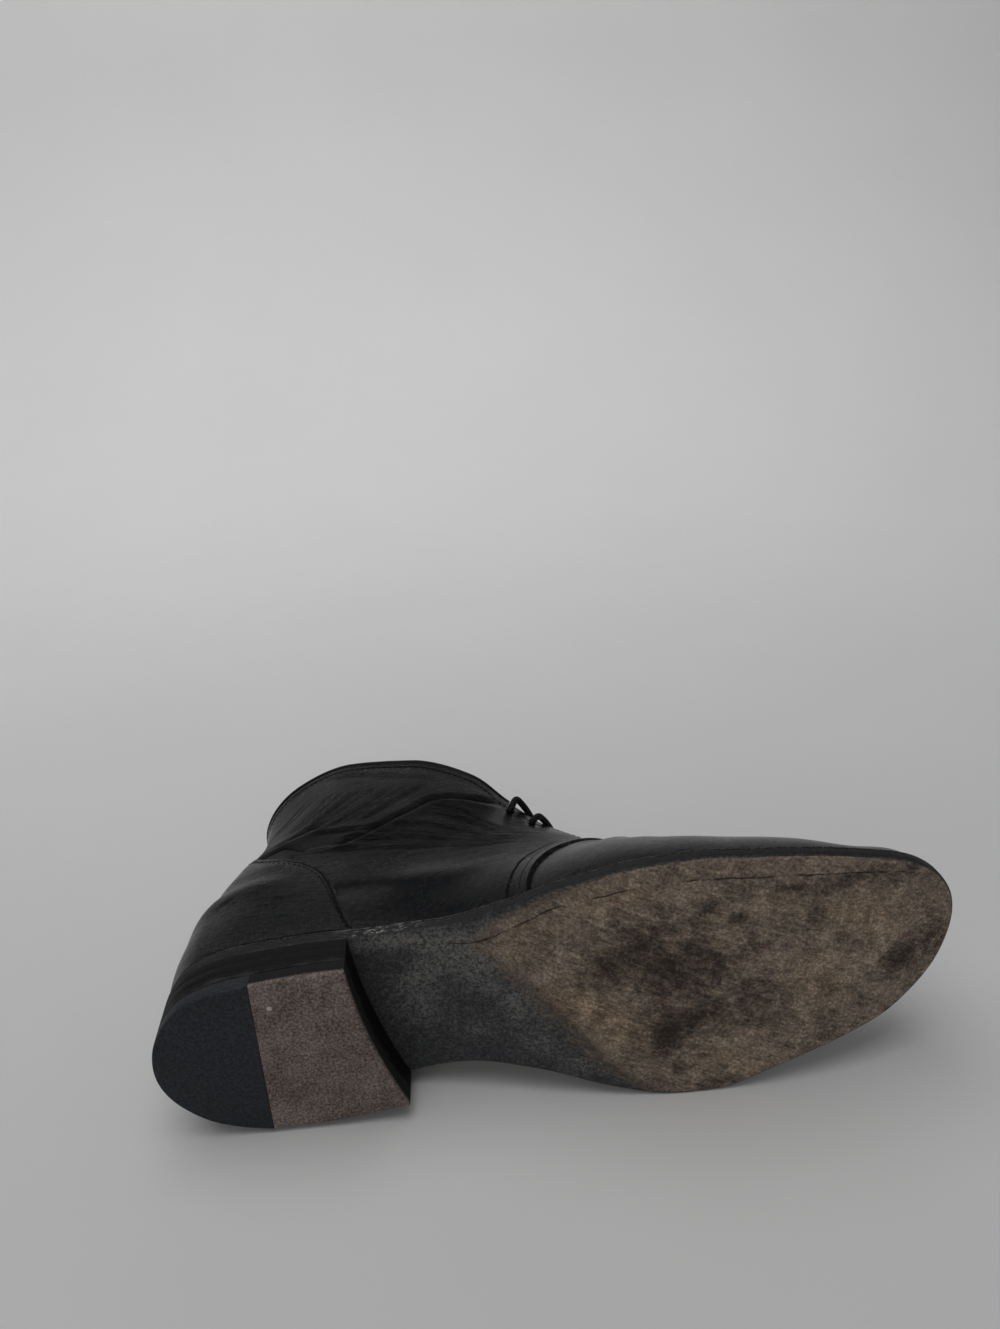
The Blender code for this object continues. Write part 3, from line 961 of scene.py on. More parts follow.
@dataclass(frozen=True)
class BlackLeather(Finish):
    """Worn black calf leather with fine grain, and wrinkles where it flexes."""

    tone: Triple = (0.0026, 0.0028, 0.0032)
    scuffed: Triple = (0.034, 0.034, 0.035)
    # Near-black laid into creases and sewn rows: painted shade in the grooves, with some dirt
    hollow: Triple = (0.0012, 0.0012, 0.0013)
    pale: Triple = (0.0068, 0.0072, 0.0082)
    rough: tuple[float, float] = (0.19, 0.33)
    wrinkled: bool = False

    def wrinkles(self, board: NodeBoard, factors: Triple, turn: float, mask: str) -> Signal:
        """Draws fine lines that run one way over the surface.

        Args:
            board: The material's nodes.
            factors: Waves for each millimetre along and across the lines.
            turn: Slant of the lines in degrees.
            mask: The kept number that says where the lines show.

        Returns:
            Their relief.
        """
        flat = board.add("ShaderNodeCombineXYZ", {0: board.kept("run"), 1: board.kept("rise")}, 0)
        lines = board.noise(board.stretch(flat, factors, (0, 0, turn)), 1.0, 5.0, 0.62, 0.55)
        furrow = abs(lines - 0.5).span(0.0, 0.09)
        return (furrow * 0.9 + lines) * board.kept(mask)

    def lay(self, board: NodeBoard) -> Material:
        """Lays out grain, scuffs and, where the leather flexes, wrinkles and drawn folds, darkened with
        painted shade and some dirt.

        Args:
            board: The material's nodes.

        Returns:
            The material.
        """
        place = board.place()
        grain = board.cells(place, 0.42, "SMOOTH_F1")
        pores = board.noise(place, 0.46, 6.0, 0.72)
        patches = board.noise(place, 0.045, 4.0, 0.6)
        rubbed = board.noise(place, 0.16, 8.0, 0.74).span(0.55, 0.74)
        normal = board.bump(grain * 0.6 + pores, 0.2, 0.6)
        share = rubbed * 0.4 * pores.span(0.4, 0.66)
        colour = board.ramp(pores, (0.32, self.tone), (0.68, self.pale))
        rough = (patches * 0.6 + pores * 0.6).span(0.35, 0.85, *self.rough)
        if not self.wrinkled:
            return board.close(board.blend(share, colour, self.scuffed), rough, normal, 0.17)
        fan = self.wrinkles(board, (0.045, 0.44, 1), -7, "wrinkle")
        crepe = self.wrinkles(board, (0.10, 0.50, 1), -52, "crepe")
        normal = board.bump(fan + crepe, 0.95, 0.9, normal)
        shaken = (board.noise(place, 0.3, 4.0, 0.7) - 0.5) * 2.0
        drawn = abs(board.kept("fold_gap") + shaken).span(0.8, 0.0) * board.kept("fold_depth")
        normal = board.bump(drawn * -1.0 + 1.0, 0.9, 0.95, normal)
        dusty = board.kept("rise").span(7.0, 0.0) * pores.span(0.35, 0.7)
        colour = board.blend((share + dusty * 0.5).clamped(), colour, self.scuffed)
        # Creases and sewn rows turn near-black: painted shade in the grooves, with some dirt
        colour = board.blend(drawn * 0.85, colour, self.hollow)
        dull = board.calc("MAXIMUM", board.kept("wrinkle"), board.kept("crepe"))
        return board.close(colour, rough + dull * 0.14 + drawn * 0.4, normal, 0.17)


@dataclass(frozen=True)
class LiningLeather(Finish):
    """Plain unpolished leather inside the boot."""

    tone: Triple = (0.10, 0.075, 0.055)
    dark: Triple = (0.05, 0.038, 0.03)

    def lay(self, board: NodeBoard) -> Material:
        """Lays out a fine nap and broad wear.

        Args:
            board: The material's nodes.

        Returns:
            The material.
        """
        place = board.place()
        nap = board.noise(place, 1.6, 6.0, 0.7)
        worn = board.noise(place, 0.03, 5.0, 0.6)
        colour = board.ramp(worn, (0.3, self.dark), (0.62, self.tone))
        return board.close(colour, 0.8, board.bump(nap, 0.12, 0.5))


@dataclass(frozen=True)
class SoleLeather(Finish):
    """Outsole leather: bare and soiled under the forefoot, black paint on the waist and edge."""

    pale: Triple = (0.48, 0.39, 0.31)
    light: Triple = (0.268, 0.21, 0.158)
    middle: Triple = (0.165, 0.128, 0.1)
    deep: Triple = (0.058, 0.046, 0.038)
    soiled: Triple = (0.3, 0.3, 0.305)
    tanned: Triple = (1.0, 0.86, 0.66)
    paint: Triple = (0.046, 0.048, 0.053)
    worn_paint: Triple = (0.014, 0.0147, 0.0165)
    scuffed: Triple = (0.18, 0.177, 0.168)
    grit: Triple = (0.5, 0.49, 0.47)
    edge: Triple = (0.0085, 0.0085, 0.009)
    thread: Triple = (0.012, 0.010, 0.009)
    bared: Triple = (0.13, 0.118, 0.105)
    scraped: Triple = (0.42, 0.40, 0.37)

    def bare(self, board: NodeBoard, fine: Signal, fibre: Signal, mottle: Signal) -> Signal:
        """Colours the bare tread.

        Args:
            board: The material's nodes.
            fine: Fine grain, from 0 to 1.
            fibre: Rubbed fibres, from 0 to 1.
            mottle: Broad blotches, from 0 to 1.

        Returns:
            The colour.
        """
        soil, tan = board.kept("soil"), board.kept("tan")
        rough_edge = mottle + fibre * 0.7 - 0.85
        broken = (soil - rough_edge * 0.42).span(-0.12, 1.12) * 0.92
        tone = fine * 0.42 + fibre * 0.32 + mottle * 0.30 - broken * 0.3 + tan * 0.16
        stops = ((0.1, self.deep), (0.42, self.middle), (0.66, self.light), (0.92, self.pale))
        colour = board.blend((broken * 0.9).clamped(), board.ramp(tone, *stops), self.soiled, "MULTIPLY")
        return board.blend((tan * 0.5).clamped(), colour, self.tanned, "MULTIPLY")

    def black(self, board: NodeBoard, place: Signal, fine: Signal) -> Signal:
        """Colours the painted waist, with its rubs and grit.

        Args:
            board: The material's nodes.
            place: Coordinates in millimetres.
            fine: Fine grain, from 0 to 1.

        Returns:
            The colour.
        """
        rubs = board.noise(board.stretch(place, (0.5, 1.0, 1.0), (0, 25, 0)), 0.5, 9.0, 0.8)
        worn = rubs + board.kept("rub") * 0.33
        rubbed = worn.span(0.46, 0.92) * fine.span(0.05, 0.85, 0.2, 1.0)
        paint = board.ramp(fine, (0.1, self.worn_paint), (0.9, self.paint))
        grit = board.cells(place, 0.16).span(0.07, 0.04) * board.noise(place, 0.05, 2.0).span(0.55, 0.62)
        return board.blend(grit, board.blend(rubbed, paint, self.scuffed), self.grit)

    def lay(self, board: NodeBoard) -> Material:
        """Lays out the bare and painted leather, the channel line and the worn edge.

        Args:
            board: The material's nodes.

        Returns:
            The material.
        """
        place = board.place()
        grain = board.noise(place, 0.95, 4.0, 0.64)
        fine = grain.span(0.3, 0.7)
        strokes = board.noise(board.stretch(place, (0.28, 1.0, 1.15), (0, -24, 0)), 0.62, 7.0, 0.74, 0.5)
        blotches = board.noise(place, 0.11, 8.0, 0.72, 0.5)
        bare = self.bare(board, fine, strokes.span(0.28, 0.72), blotches.span(0.3, 0.7))
        ragged = (strokes - 0.5) * 40.0 + (blotches - 0.5) * 34.0
        painted = (board.kept("paint") + ragged).span(-8.0, 7.0)
        colour = board.blend(painted, bare, self.black(board, place, fine))
        brink = board.kept("brink") * strokes.span(0.34, 0.62, 0.05, 0.95)
        colour = board.blend(brink, colour, self.deep)
        shaken = (board.noise(place, 0.22, 4.0) - 0.5) * 1.6
        line = abs(board.kept("channel") + shaken).span(0.5, 0.1)
        line = line * board.noise(place, 0.1, 4.0).span(0.4, 0.58, 0.08, 0.9)
        colour = board.blend(line, colour, self.thread)
        side = board.kept("edge") * grain.span(0.72, 0.5, 0.55, 1.0)
        colour = board.blend(side, colour, self.edge)
        colour = board.blend(board.kept("rim") * grain.span(0.42, 0.68), colour, self.bared)
        colour = board.blend(board.kept("scrape") * strokes.span(0.5, 0.64), colour, self.scraped)
        normal = board.bump(strokes * 0.9 + grain - line * 1.2, 0.5, 0.6)
        return board.close(colour, painted.span(0.0, 1.0, 0.9, 0.66), normal, 0.3)


@dataclass(frozen=True)
class HeelLeather(Finish):
    """Stacked heel leather under black edge dressing, with faint lift lines."""

    tone: Triple = (0.004, 0.0041, 0.0043)
    scuffed: Triple = (0.05, 0.045, 0.042)

    def lay(self, board: NodeBoard) -> Material:
        """Lays out worn edges and the layers of the stack.

        Args:
            board: The material's nodes.

        Returns:
            The material.
        """
        place = board.place()
        wear = board.noise(board.stretch(place, (0.5, 1.4, 0.5)), 0.3, 9.0, 0.78)
        bare = (wear + board.kept("worn") * 0.2).span(0.56, 0.86)
        layers = board.noise(board.stretch(place, (0.06, 1.6, 0.06)), 1.0, 4.0, 0.6)
        fine = board.noise(place, 1.1, 6.0, 0.78)
        colour = board.blend(bare * 0.8, self.tone, self.scuffed)
        rough = fine.span(0.2, 0.8, 0.5, 0.7)
        return board.close(colour, rough, board.bump(layers + fine, 0.35, 0.5), 0.15)


@dataclass(frozen=True)
class LiftLeather(Finish):
    """Worn leather half of the top lift, speckled with grit, with one nail head."""

    pale: Triple = (0.31, 0.245, 0.212)
    middle: Triple = (0.15, 0.116, 0.103)
    deep: Triple = (0.05, 0.039, 0.036)
    grit: Triple = (0.5, 0.44, 0.39)
    edge: Triple = (0.010, 0.0098, 0.0098)
    nail: Triple = (0.0, 0.0, 0.0)
    nail_radius: float = 1.1

    def lay(self, board: NodeBoard) -> Material:
        """Lays out blotches, grit, the nail head and the dressed edge.

        Args:
            board: The material's nodes.

        Returns:
            The material.
        """
        place = board.place()
        blotches = board.noise(place, 0.08, 6.0, 0.66).span(0.3, 0.7)
        grain = board.noise(place, 1.05, 4.0, 0.64)
        tone = blotches * 0.34 + grain.span(0.3, 0.7) * 0.66
        colour = board.ramp(tone, (0.12, self.deep), (0.5, self.middle), (0.9, self.pale))
        few = board.noise(place, 0.07, 2.0).span(0.5, 0.62) * 0.7
        colour = board.blend(board.cells(place, 0.2).span(0.1, 0.05) * few, colour, self.grit)
        head = board.away(place, self.nail).span(self.nail_radius, 0.7 * self.nail_radius)
        colour = board.blend(head, colour, self.grit)
        side = (board.kept("height") + (grain - 0.5) * 3.0).span(0.9, 2.0)
        colour = board.blend(side, colour, self.edge)
        return board.close(colour, 0.88, board.bump(grain + blotches * 0.3, 0.5, 0.6), 0.3)


@dataclass(frozen=True)
class HeelRubber(Finish):
    """Dark blue-black rubber, dulled by wear."""

    tone: Triple = (0.0085, 0.0105, 0.0148)
    dust: Triple = (0.034, 0.039, 0.047)

    def lay(self, board: NodeBoard) -> Material:
        """Lays out dust, drag marks and a broad haze.

        Args:
            board: The material's nodes.

        Returns:
            The material.
        """
        place = board.place()
        fine = board.noise(place, 0.85, 3.0, 0.62)
        drags = board.noise(board.stretch(place, (0.25, 1, 1.1), (0, 15, 0)), 0.7, 6.0, 0.7)
        haze = board.noise(place, 0.06, 5.0, 0.6)
        colour = board.blend((fine + haze * 0.4).span(0.52, 0.95) * 0.8, self.tone, self.dust)
        rough = haze.span(0.2, 0.8, 0.58, 0.78)
        return board.close(colour, rough, board.bump(fine + drags, 0.3, 0.5), 0.3)


@dataclass(frozen=True)
class WaxedCord(Finish):
    """Black braided cord with a little wax."""

    tone: Triple = (0.004, 0.004, 0.0042)
    lit: Triple = (0.014, 0.014, 0.0145)
    pitch: float = 2.4
    strands: float = 4.0

    def lay(self, board: NodeBoard) -> Material:
        """Lays out strands that cross each other round the cord.

        Args:
            board: The material's nodes.

        Returns:
            The material.
        """
        along = board.kept("run") * (2 * math.pi / self.pitch)
        around = board.kept("turn") * self.strands
        first, second = (board.calc("SINE", way) for way in (along + around, along - around))
        height = board.calc("MAXIMUM", first, second) + board.noise(board.place(), 3.0, 4.0, 0.7)
        colour = board.blend(height.span(0.2, 1.6), self.tone, self.lit)
        return board.close(colour, 0.66, board.bump(height, 0.22, 0.8), 0.15)


@dataclass(frozen=True)
class PlainFinish(Finish):
    """Even finish for the thread and the paper sweep, with a faint mottle."""

    tone: Triple
    other: Triple
    rough: float
    scale: float

    def lay(self, board: NodeBoard) -> Material:
        """Lays out the mottle."""
        mottle = board.noise(board.place(), self.scale, 4.0, 0.6)
        return board.close(board.ramp(mottle, (0.3, self.tone), (0.7, self.other)), self.rough, None, 0.15)


@dataclass
class Outsole:
    """Leather outsole with its rounded edge, channel line, paint and wear."""

    shop: Workshop
    last: Last
    stations: int = 250
    columns: int = 84
    end: float = 0.0006
    off_tread: float = 0.05
    off_channel: float = 20.0
    bare_reach: float = 9.0
    painted_edge: float = 22.0
    rim_height: float = 5.0
    scraped_at: float = 88.0

    # Outward step and height of the sole's edge, from the tread to the upper face
    EDGE = table(
        "out height",
        (-1.5, 0.0), (-0.75, 0.1), (-0.3, 0.38), (-0.06, 0.9), (0.02, 1.6), (0.05, 2.7),
        (0.0, 3.7), (-0.08, 4.15), (-0.36, 4.32), (-0.36, 4.5), (-0.08, 4.68), (-0.06, 5.05),
        (-0.2, 5.38), (-0.6, 5.5),
    )
    # Stitched channel on the tread
    CHANNEL = table(
        "x y",
        (112, -25.5), (124, -26), (140, -33), (153, -39), (169, -42), (191, -44), (222, -40),
        (255, -32), (279, -24),
    )
    # Front of the black paint on the waist, from the lateral to the medial side
    PAINT = table(
        "y x",
        (-56, 168), (-46, 157), (-41, 146), (-33, 128), (-24, 123), (-18, 128), (-6, 137),
        (3, 143), (17, 152), (31, 160), (40, 168), (45, 175), (56, 186),
    )
    # Dark and tan patches of wear
    SOIL = table(
        "x y length width share",
        (215, -25, 3.5, 2.6, 0.9), (205, -31, 6, 3.5, 0.5), (213, -36, 5, 3, 0.45),
        (238, -32, 8, 3, 0.6), (249, -27, 6, 2.6, 0.5), (243, -22, 4, 4, 0.5),
        (244, -14, 3, 4, 0.55), (184, -26, 14, 7, 0.5), (170, -14, 13, 8, 0.5),
        (164, -6, 8, 6, 0.3), (195, -10, 20, 12, 0.55), (188, 15, 15, 9, 0.65),
        (184, 24, 9, 7, 0.55), (188, 38, 4, 3.4, 0.8), (219, 15, 16, 8, 0.45),
        (227, 24, 8, 3, 0.5), (279, 12, 6, 6, 0.85), (273, 17, 7, 7, 0.5),
        (277, -24, 10, 4, 0.6), (263, -29, 12, 3.4, 0.6), (290, 6, 6, 12, 0.4),
        (255, 27, 9, 5, 0.35), (246, 37, 12, 4, 0.35), (200, 46, 16, 3, 0.4),
        (200, -2, 34, 20, 0.26),
    )
    TAN = table(
        "x y length width share",
        (169, -40, 14, 5, 0.6), (184, -42, 10, 4, 0.4), (261, -15, 12, 9, 0.8),
        (269, -4, 9, 8, 0.5), (240, 6, 13, 9, 0.6), (247, 17, 10, 8, 0.45), (161, 7, 8, 8, 1.0),
        (171, 19, 9, 8, 1.0), (204, 35, 13, 5, 0.5), (217, 43, 14, 4, 0.5),
        (141, -32, 8, 5, 0.5), (133, -20, 6, 6, 0.35), (152, 1, 8, 7, 0.7),
        (229, -28, 10, 5, 0.45), (292, -2, 4, 10, 0.4), (209, -18, 10, 5, 0.3),
    )
    # Grey rubs on the painted waist
    RUBS = table(
        "x y length width share",
        (90, -28, 16, 3.2, 1.0), (112, -26, 14, 7, 0.9), (106, -16, 10, 6, 0.6),
        (122, -12, 8, 9, 0.8), (133, 2, 8, 9, 0.7), (99, 0, 11, 12, 0.6), (118, 14, 10, 5, 0.4),
        (140, 20, 9, 8, 0.6), (152, 33, 8, 6, 0.6), (96, -10, 7, 5, 0.4), (130, -25, 9, 8, 0.6),
    )

    @staticmethod
    def patches(rows: Rows, x: Array, y: Array) -> Array:
        """Adds up soft oval patches.

        Args:
            rows: Their centres, sizes and shares.
            x: Places along the sole.
            y: Places across the sole.

        Returns:
            The share at each place.
        """
        total = np.zeros_like(x)
        for along, over, length, width, share in zip(*rows.values()):
            total += share * bell(x, along, length) * bell(y, over, width)
        return total

    def rings(self, inset: float, edge: Rows, lift: float) -> tuple[Array, Array, Array]:
        """Draws closed sections across the sole.

        Args:
            inset: How far the outline is drawn in.
            edge: Steps and heights of the edge.
            lift: Height of the section's foot above the tread.

        Returns:
            The rings, the height of each point above the tread, and its distance from the edge.
        """
        ends = self.last.edge_angle(np.array([self.end, self.last.sole_length - self.end]))
        angles = np.linspace(*ends, self.stations)
        flat = np.linspace(0, 1, self.columns)
        steps = [np.full_like(angles, inset - out) for out in edge["out"]]
        lateral, medial = (
            np.stack([self.last.inset_edge(angles, side, step) for step in steps]) for side in Side
        )
        bottom = lateral[0][:, None] + flat[None, :, None] * (medial[0] - lateral[0])[:, None]
        top = medial[-1][:, None] + flat[None, :, None] * (lateral[-1] - medial[-1])[:, None]
        rise_up = np.transpose(medial[1:-1], (1, 0, 2))
        go_down = np.transpose(lateral[1:-1][::-1], (1, 0, 2))
        plan = np.concatenate([bottom, rise_up, top, go_down], axis=1)
        heights = np.concatenate([
            np.zeros(self.columns),
            edge["height"][1:-1],
            np.full(self.columns, edge["height"][-1]),
            edge["height"][1:-1][::-1],
        ])
        high = np.broadcast_to(heights, plan.shape[:2])
        z = self.last.tread(plan[..., 0]) + lift + high
        half = np.linalg.norm(medial[0] - lateral[0], axis=-1)[:, None] / 2
        inside = np.concatenate([
            half * (1 - np.abs(2 * flat - 1)),
            np.zeros(rise_up.shape[:2]),
            half * (1 - np.abs(2 * flat - 1)),
            np.zeros(go_down.shape[:2]),
        ], axis=1)
        return np.concatenate([plan, z[..., None]], axis=-1), high, inside

    def build(self, finish: Material) -> None:
        """Builds and dresses the outsole.

        Args:
            finish: Its leather.
        """
        rings, high, inside = self.rings(0.0, self.EDGE, 0.0)
        x, y = rings[..., 0], rings[..., 1]
        flat = np.stack([x.ravel(), y.ravel()], axis=1)
        chain = curve_through(np.stack([self.CHANNEL["x"], self.CHANNEL["y"]], axis=1), 6)
        away, _, offset = near_chain(flat, chain)
        channel = (away * np.where(offset[:, 1] < 0, -1, 1)).reshape(x.shape)
        on_edge = high > self.off_tread
        behind = smooth(self.PAINT["y"], self.PAINT["x"], y) - x
        edged = np.maximum(behind, -self.bare_reach * ease(0, 1.6, inside))
        edged = np.maximum(edged, self.painted_edge * ease(0, 1.2, high))
        brink = bell(behind, -1.5, 2.4) * ease(-12, 8, y) * ease(48, 38, y)
        near_breast = bell(x, self.scraped_at, 13) * (y < 0)
        fields = {
            "channel": np.where(on_edge, self.off_channel, channel),
            "paint": np.where(on_edge, edged, behind),
            "brink": np.where(on_edge, 0.0, brink),
            "soil": np.clip(self.patches(self.SOIL, x, y), 0, 1.1),
            "tan": np.clip(self.patches(self.TAN, x, y), 0, 1),
            "rub": np.where(high > 0.3, 0.1, np.clip(self.patches(self.RUBS, x, y), 0, 1.1)),
            "rim": bell(high, self.rim_height, 0.35),
            "scrape": near_breast * ease(0.2, 1.5, high),
            "edge": ease(0.1, 0.9, high),
        }
        made = self.shop.tube("worn_outsole", rings, fields)
        self.shop.shade(made, 50)
        self.shop.dress(made, finish)
        self.shop.hand_over(made, "sole_leather", "outsole")


@dataclass
class Insole:
    """Insole that lies on the outsole, inside the upper's foot."""

    shop: Workshop
    last: Last

    # Outward step and height of its edge, from the foot up
    EDGE = table(
        "out height",
        (0.0, 0.0), (0.0, 1.6), (-0.3, 2.2), (-0.8, 2.4),
    )

    def build(self, finish: Material) -> None:
        """Builds and dresses the insole.

        Args:
            finish: Its leather.
        """
        inset = self.last.sole_lip + self.last.quarter_wall + 2 * self.last.gap
        sole = Outsole(self.shop, self.last, stations=120, columns=30, end=0.4)
        rings, _, _ = sole.rings(inset, self.EDGE, self.last.sole_thickness + self.last.gap)
        made = self.shop.tube("inner_sole", rings)
        self.shop.shade(made)
        self.shop.dress(made, finish)
        self.shop.hand_over(made, "insole_leather", "insole")


@dataclass
class Heel:
    """Stacked heel with a rubber and a leather half in its top lift."""

    shop: Workshop
    last: Last
    lift: float = 6.0
    taper: float = 0.6
    pitch: float = 0.5
    lean: float = 0.8
    half_width: float = 33.0
    breast_lateral: float = 76.5
    breast_medial: float = 87.5
    breast_hollow: float = 2.6
    rubber_lateral: float = 42.5
    rubber_medial: float = 36.0
    side_points: int = 70
    front_points: int = 50
    joint_rounding: float = 0.08
    breast_rounding: float = 0.4
    corner_reach: float = 6.0
    cap_shares: tuple[float, ...] = (0.04, 0.3, 0.6, 0.85, 0.97)
    block_gap: float = 0.1
    joint_gap: float = 0.075
    wear_height: float = 0.6
    wear_reach: float = 0.9

    # Rings of a lift and of the block, with the block's lift lines as fine grooves
    LIFT = table(
        "share rise inset",
        (0, 0.0, 0.9), (0, 0.12, 0.42), (0, 0.42, 0.12), (0, 0.9, 0.0), (0.5, 0.0, 0.0),
        (1, -0.5, 0.0), (1, -0.12, 0.12), (1, 0.0, 0.4),
    )
    BLOCK = table(
        "share rise inset",
        (0, 0.0, 0.4), (0, 0.15, 0.1), (0, 0.45, 0.0), (0.3, -0.3, 0.0), (0.3, -0.08, 0.14),
        (0.3, 0.08, 0.14), (0.3, 0.3, 0.0), (0.65, -0.3, 0.0), (0.65, -0.08, 0.12),
        (0.65, 0.08, 0.12), (0.65, 0.3, 0.0), (1, -0.4, 0.0), (1, -0.1, 0.1), (1, 0.0, 0.35),
    )

    def across(self, y: Array) -> Array:
        """How far over the heel's width a point is, from the lateral (0) to the medial side (1)."""
        return np.clip((np.asarray(y) / self.half_width + 1) / 2, 0, 1)

    def breast(self, y: Array) -> Array:
        """Draws the heel's front, longer on the medial side and hollow in the middle.

        Args:
            y: Places across the heel.

        Returns:
            The x of each place.
        """
        t = self.across(y)
        length = self.breast_medial - self.breast_lateral
        return self.breast_lateral + length * t - self.breast_hollow * 4 * t * (1 - t)

    def joint(self, y: Array) -> Array:
        """Joint between the rubber and leather halves of the top lift."""
        return self.rubber_lateral + (self.rubber_medial - self.rubber_lateral) * self.across(y)

    def corner(self, line: Line, side: Side) -> Array:
        """Finds where a line across the heel meets its edge.

        Args:
            line: A method that gives x for y.
            side: The side of the boot.

        Returns:
            The x and y of the corner.
        """
        y = 0.0
        for _ in range(8):
            x = float(line(y))
            y = float(self.last.edge(self.last.edge_angle(x), side)[1])
        return np.array([x, y])

    def flank(self, side: Side, start: float, end: float) -> Array:
        """Points of the heel's edge on one side, from one x to another."""
        angles = np.linspace(*self.last.edge_angle(np.array([start, end])), self.side_points)
        return self.last.edge(angles, side)

    def bar(self, line: Line, start: Side) -> Array:
        """Points along a line across the heel, without its corners."""
        ends = (self.corner(line, side)[1] for side in (start, start.other))
        return np.array([(line(y), y) for y in np.linspace(*ends, self.front_points)[1:-1]])

    def plan(self, front: Line, back: Line | None = None) -> Array:
        """Draws a piece of the heel, seen from above.

        Args:
            front: The line at its front.
            back: The line at its back, or none for the heel's round end.

        Returns:
            The closed outline, against the clock.
        """
        ends = {side: self.corner(front, side)[0] for side in Side}
        starts = {side: 0.0 if back is None else self.corner(back, side)[0] for side in Side}
        medial = self.flank(Side.MEDIAL, ends[Side.MEDIAL], starts[Side.MEDIAL])
        lateral = self.flank(Side.LATERAL, starts[Side.LATERAL], ends[Side.LATERAL])
        behind = lateral[:0] if back is None else self.bar(back, Side.MEDIAL)
        lateral = lateral[1:] if back is None else lateral
        ahead = self.bar(front, Side.LATERAL)
        outline = np.concatenate([medial, behind, lateral, ahead])
        corners = [outline[0], lateral[-1]]
        if back is not None:
            corners += [medial[-1], lateral[0]]
        away = np.min([np.linalg.norm(outline - corner, axis=1) for corner in corners], axis=0)
        rounding = self.joint_rounding + (1 - self.joint_rounding) * ease(0, self.corner_reach, away)
        first = len(medial)
        rounding[first:first + len(behind)] = self.joint_rounding
        rounding[len(outline) - len(ahead):] *= self.front_rounding(front)
        return np.concatenate([outline, rounding[:, None]], axis=1)

    def front_rounding(self, front: Line) -> float:
        """How much of the edge's rounding a front line gets."""
        return self.breast_rounding if front == self.breast else self.joint_rounding

    def rings(self, plan: Array, profile: Rows, bottom: Line, top: Line) -> tuple[Array, Array]:
        """Stacks insets of an outline and closes both faces with ever smaller rings.

        Args:
            plan: The outline, with the share of the rounding at each point.
            profile: Share of the height, rise in millimetres and inset of each ring.
            bottom: Height of the foot at x.
            top: Height of the head at x.

        Returns:
            The rings, and the height of each point above the foot.
        """
        rounding = plan[:, 2:]
        plan = plan[:, :2]
        along = unit(np.roll(plan, -1, axis=0) - np.roll(plan, 1, axis=0))
        inwards = np.stack([-along[:, 1], along[:, 0]], axis=1) * rounding
        rings, heights = [], []
        for share, rise, inset in zip(profile["share"], profile["rise"], profile["inset"]):
            flat = plan + inset * inwards
            x, y = flat.T
            low, high = bottom(x), top(x)
            z = low + share * (high - low) + rise
            down = 1 - z / self.last.tread(x)
            forwards = self.pitch * np.maximum(1 - x / self.breast_lateral, 0) ** 2
            placed = [x + down * forwards, y + down * (self.lean - self.taper * y / self.half_width), z]
            rings.append(np.stack(placed, axis=1))
            heights.append(z - low)
        middles = [ring.mean(axis=0) for ring in (rings[0], rings[-1])]
        foot = [middles[0] + share * (rings[0] - middles[0]) for share in self.cap_shares]
        head = [middles[1] + share * (rings[-1] - middles[1]) for share in self.cap_shares[::-1]]
        count = len(self.cap_shares)
        heights = [*[heights[0]] * count, *heights, *[heights[-1]] * count]
        return np.array([*foot, *rings, *head]), np.array(heights)

    def piece(self, name: str, plan: Array, profile: Rows, bottom: Line, top: Line) -> Object:
        """Lofts one piece of the heel.

        Args:
            name: The piece's name.
            plan: Its outline.
            profile: Its rings.
            bottom: Height of its foot.
            top: Height of its head.

        Returns:
            The closed object.
        """
        rings, heights = self.rings(plan, profile, bottom, top)
        low_edge = bell(heights, self.wear_height, self.wear_reach)
        made = self.shop.tube(name, rings, {"height": heights, "worn": low_edge})
        self.shop.shade(made, 32)
        return made

    def floor(self, x: Array) -> Array:
        """Underside of the lift."""
        return np.zeros_like(x)

    def lift_top(self, x: Array) -> Array:
        """Upper face of the lift."""
        return np.full_like(x, self.lift)

    def block_foot(self, x: Array) -> Array:
        """Underside of the block."""
        return np.full_like(x, self.lift + self.block_gap)

    def block_head(self, x: Array) -> Array:
        """Upper face of the block."""
        return self.last.tread(x) - self.block_gap

    def behind_joint(self, y: Array) -> Array:
        """Back of the leather half."""
        return self.joint(y) + self.joint_gap

    def build(self, block: Finish, leather: Finish, rubber: Finish) -> None:
        """Builds and dresses the heel.

        Args:
            block: Finish of the stacked block.
            leather: Finish of the leather half of the lift.
            rubber: Finish of the rubber half.
        """
        stack = (self.BLOCK, self.block_foot, self.block_head)
        lift = (self.LIFT, self.floor, self.lift_top)
        front = (self.breast, self.behind_joint)
        for name, lines, form, finish, slot, node in (
            ("heel_block", (self.breast,), stack, block, "heel_leather", "heel_stack"),
            ("leather_lift", front, lift, leather, "lift_leather", "heel_lift"),
            ("rubber_lift", (self.joint,), lift, rubber, "heel_rubber", "heel_rubber"),
        ):
            made = self.piece(name, self.plan(*lines), *form)
            self.shop.dress(made, finish.make())
            self.shop.hand_over(made, slot, node)


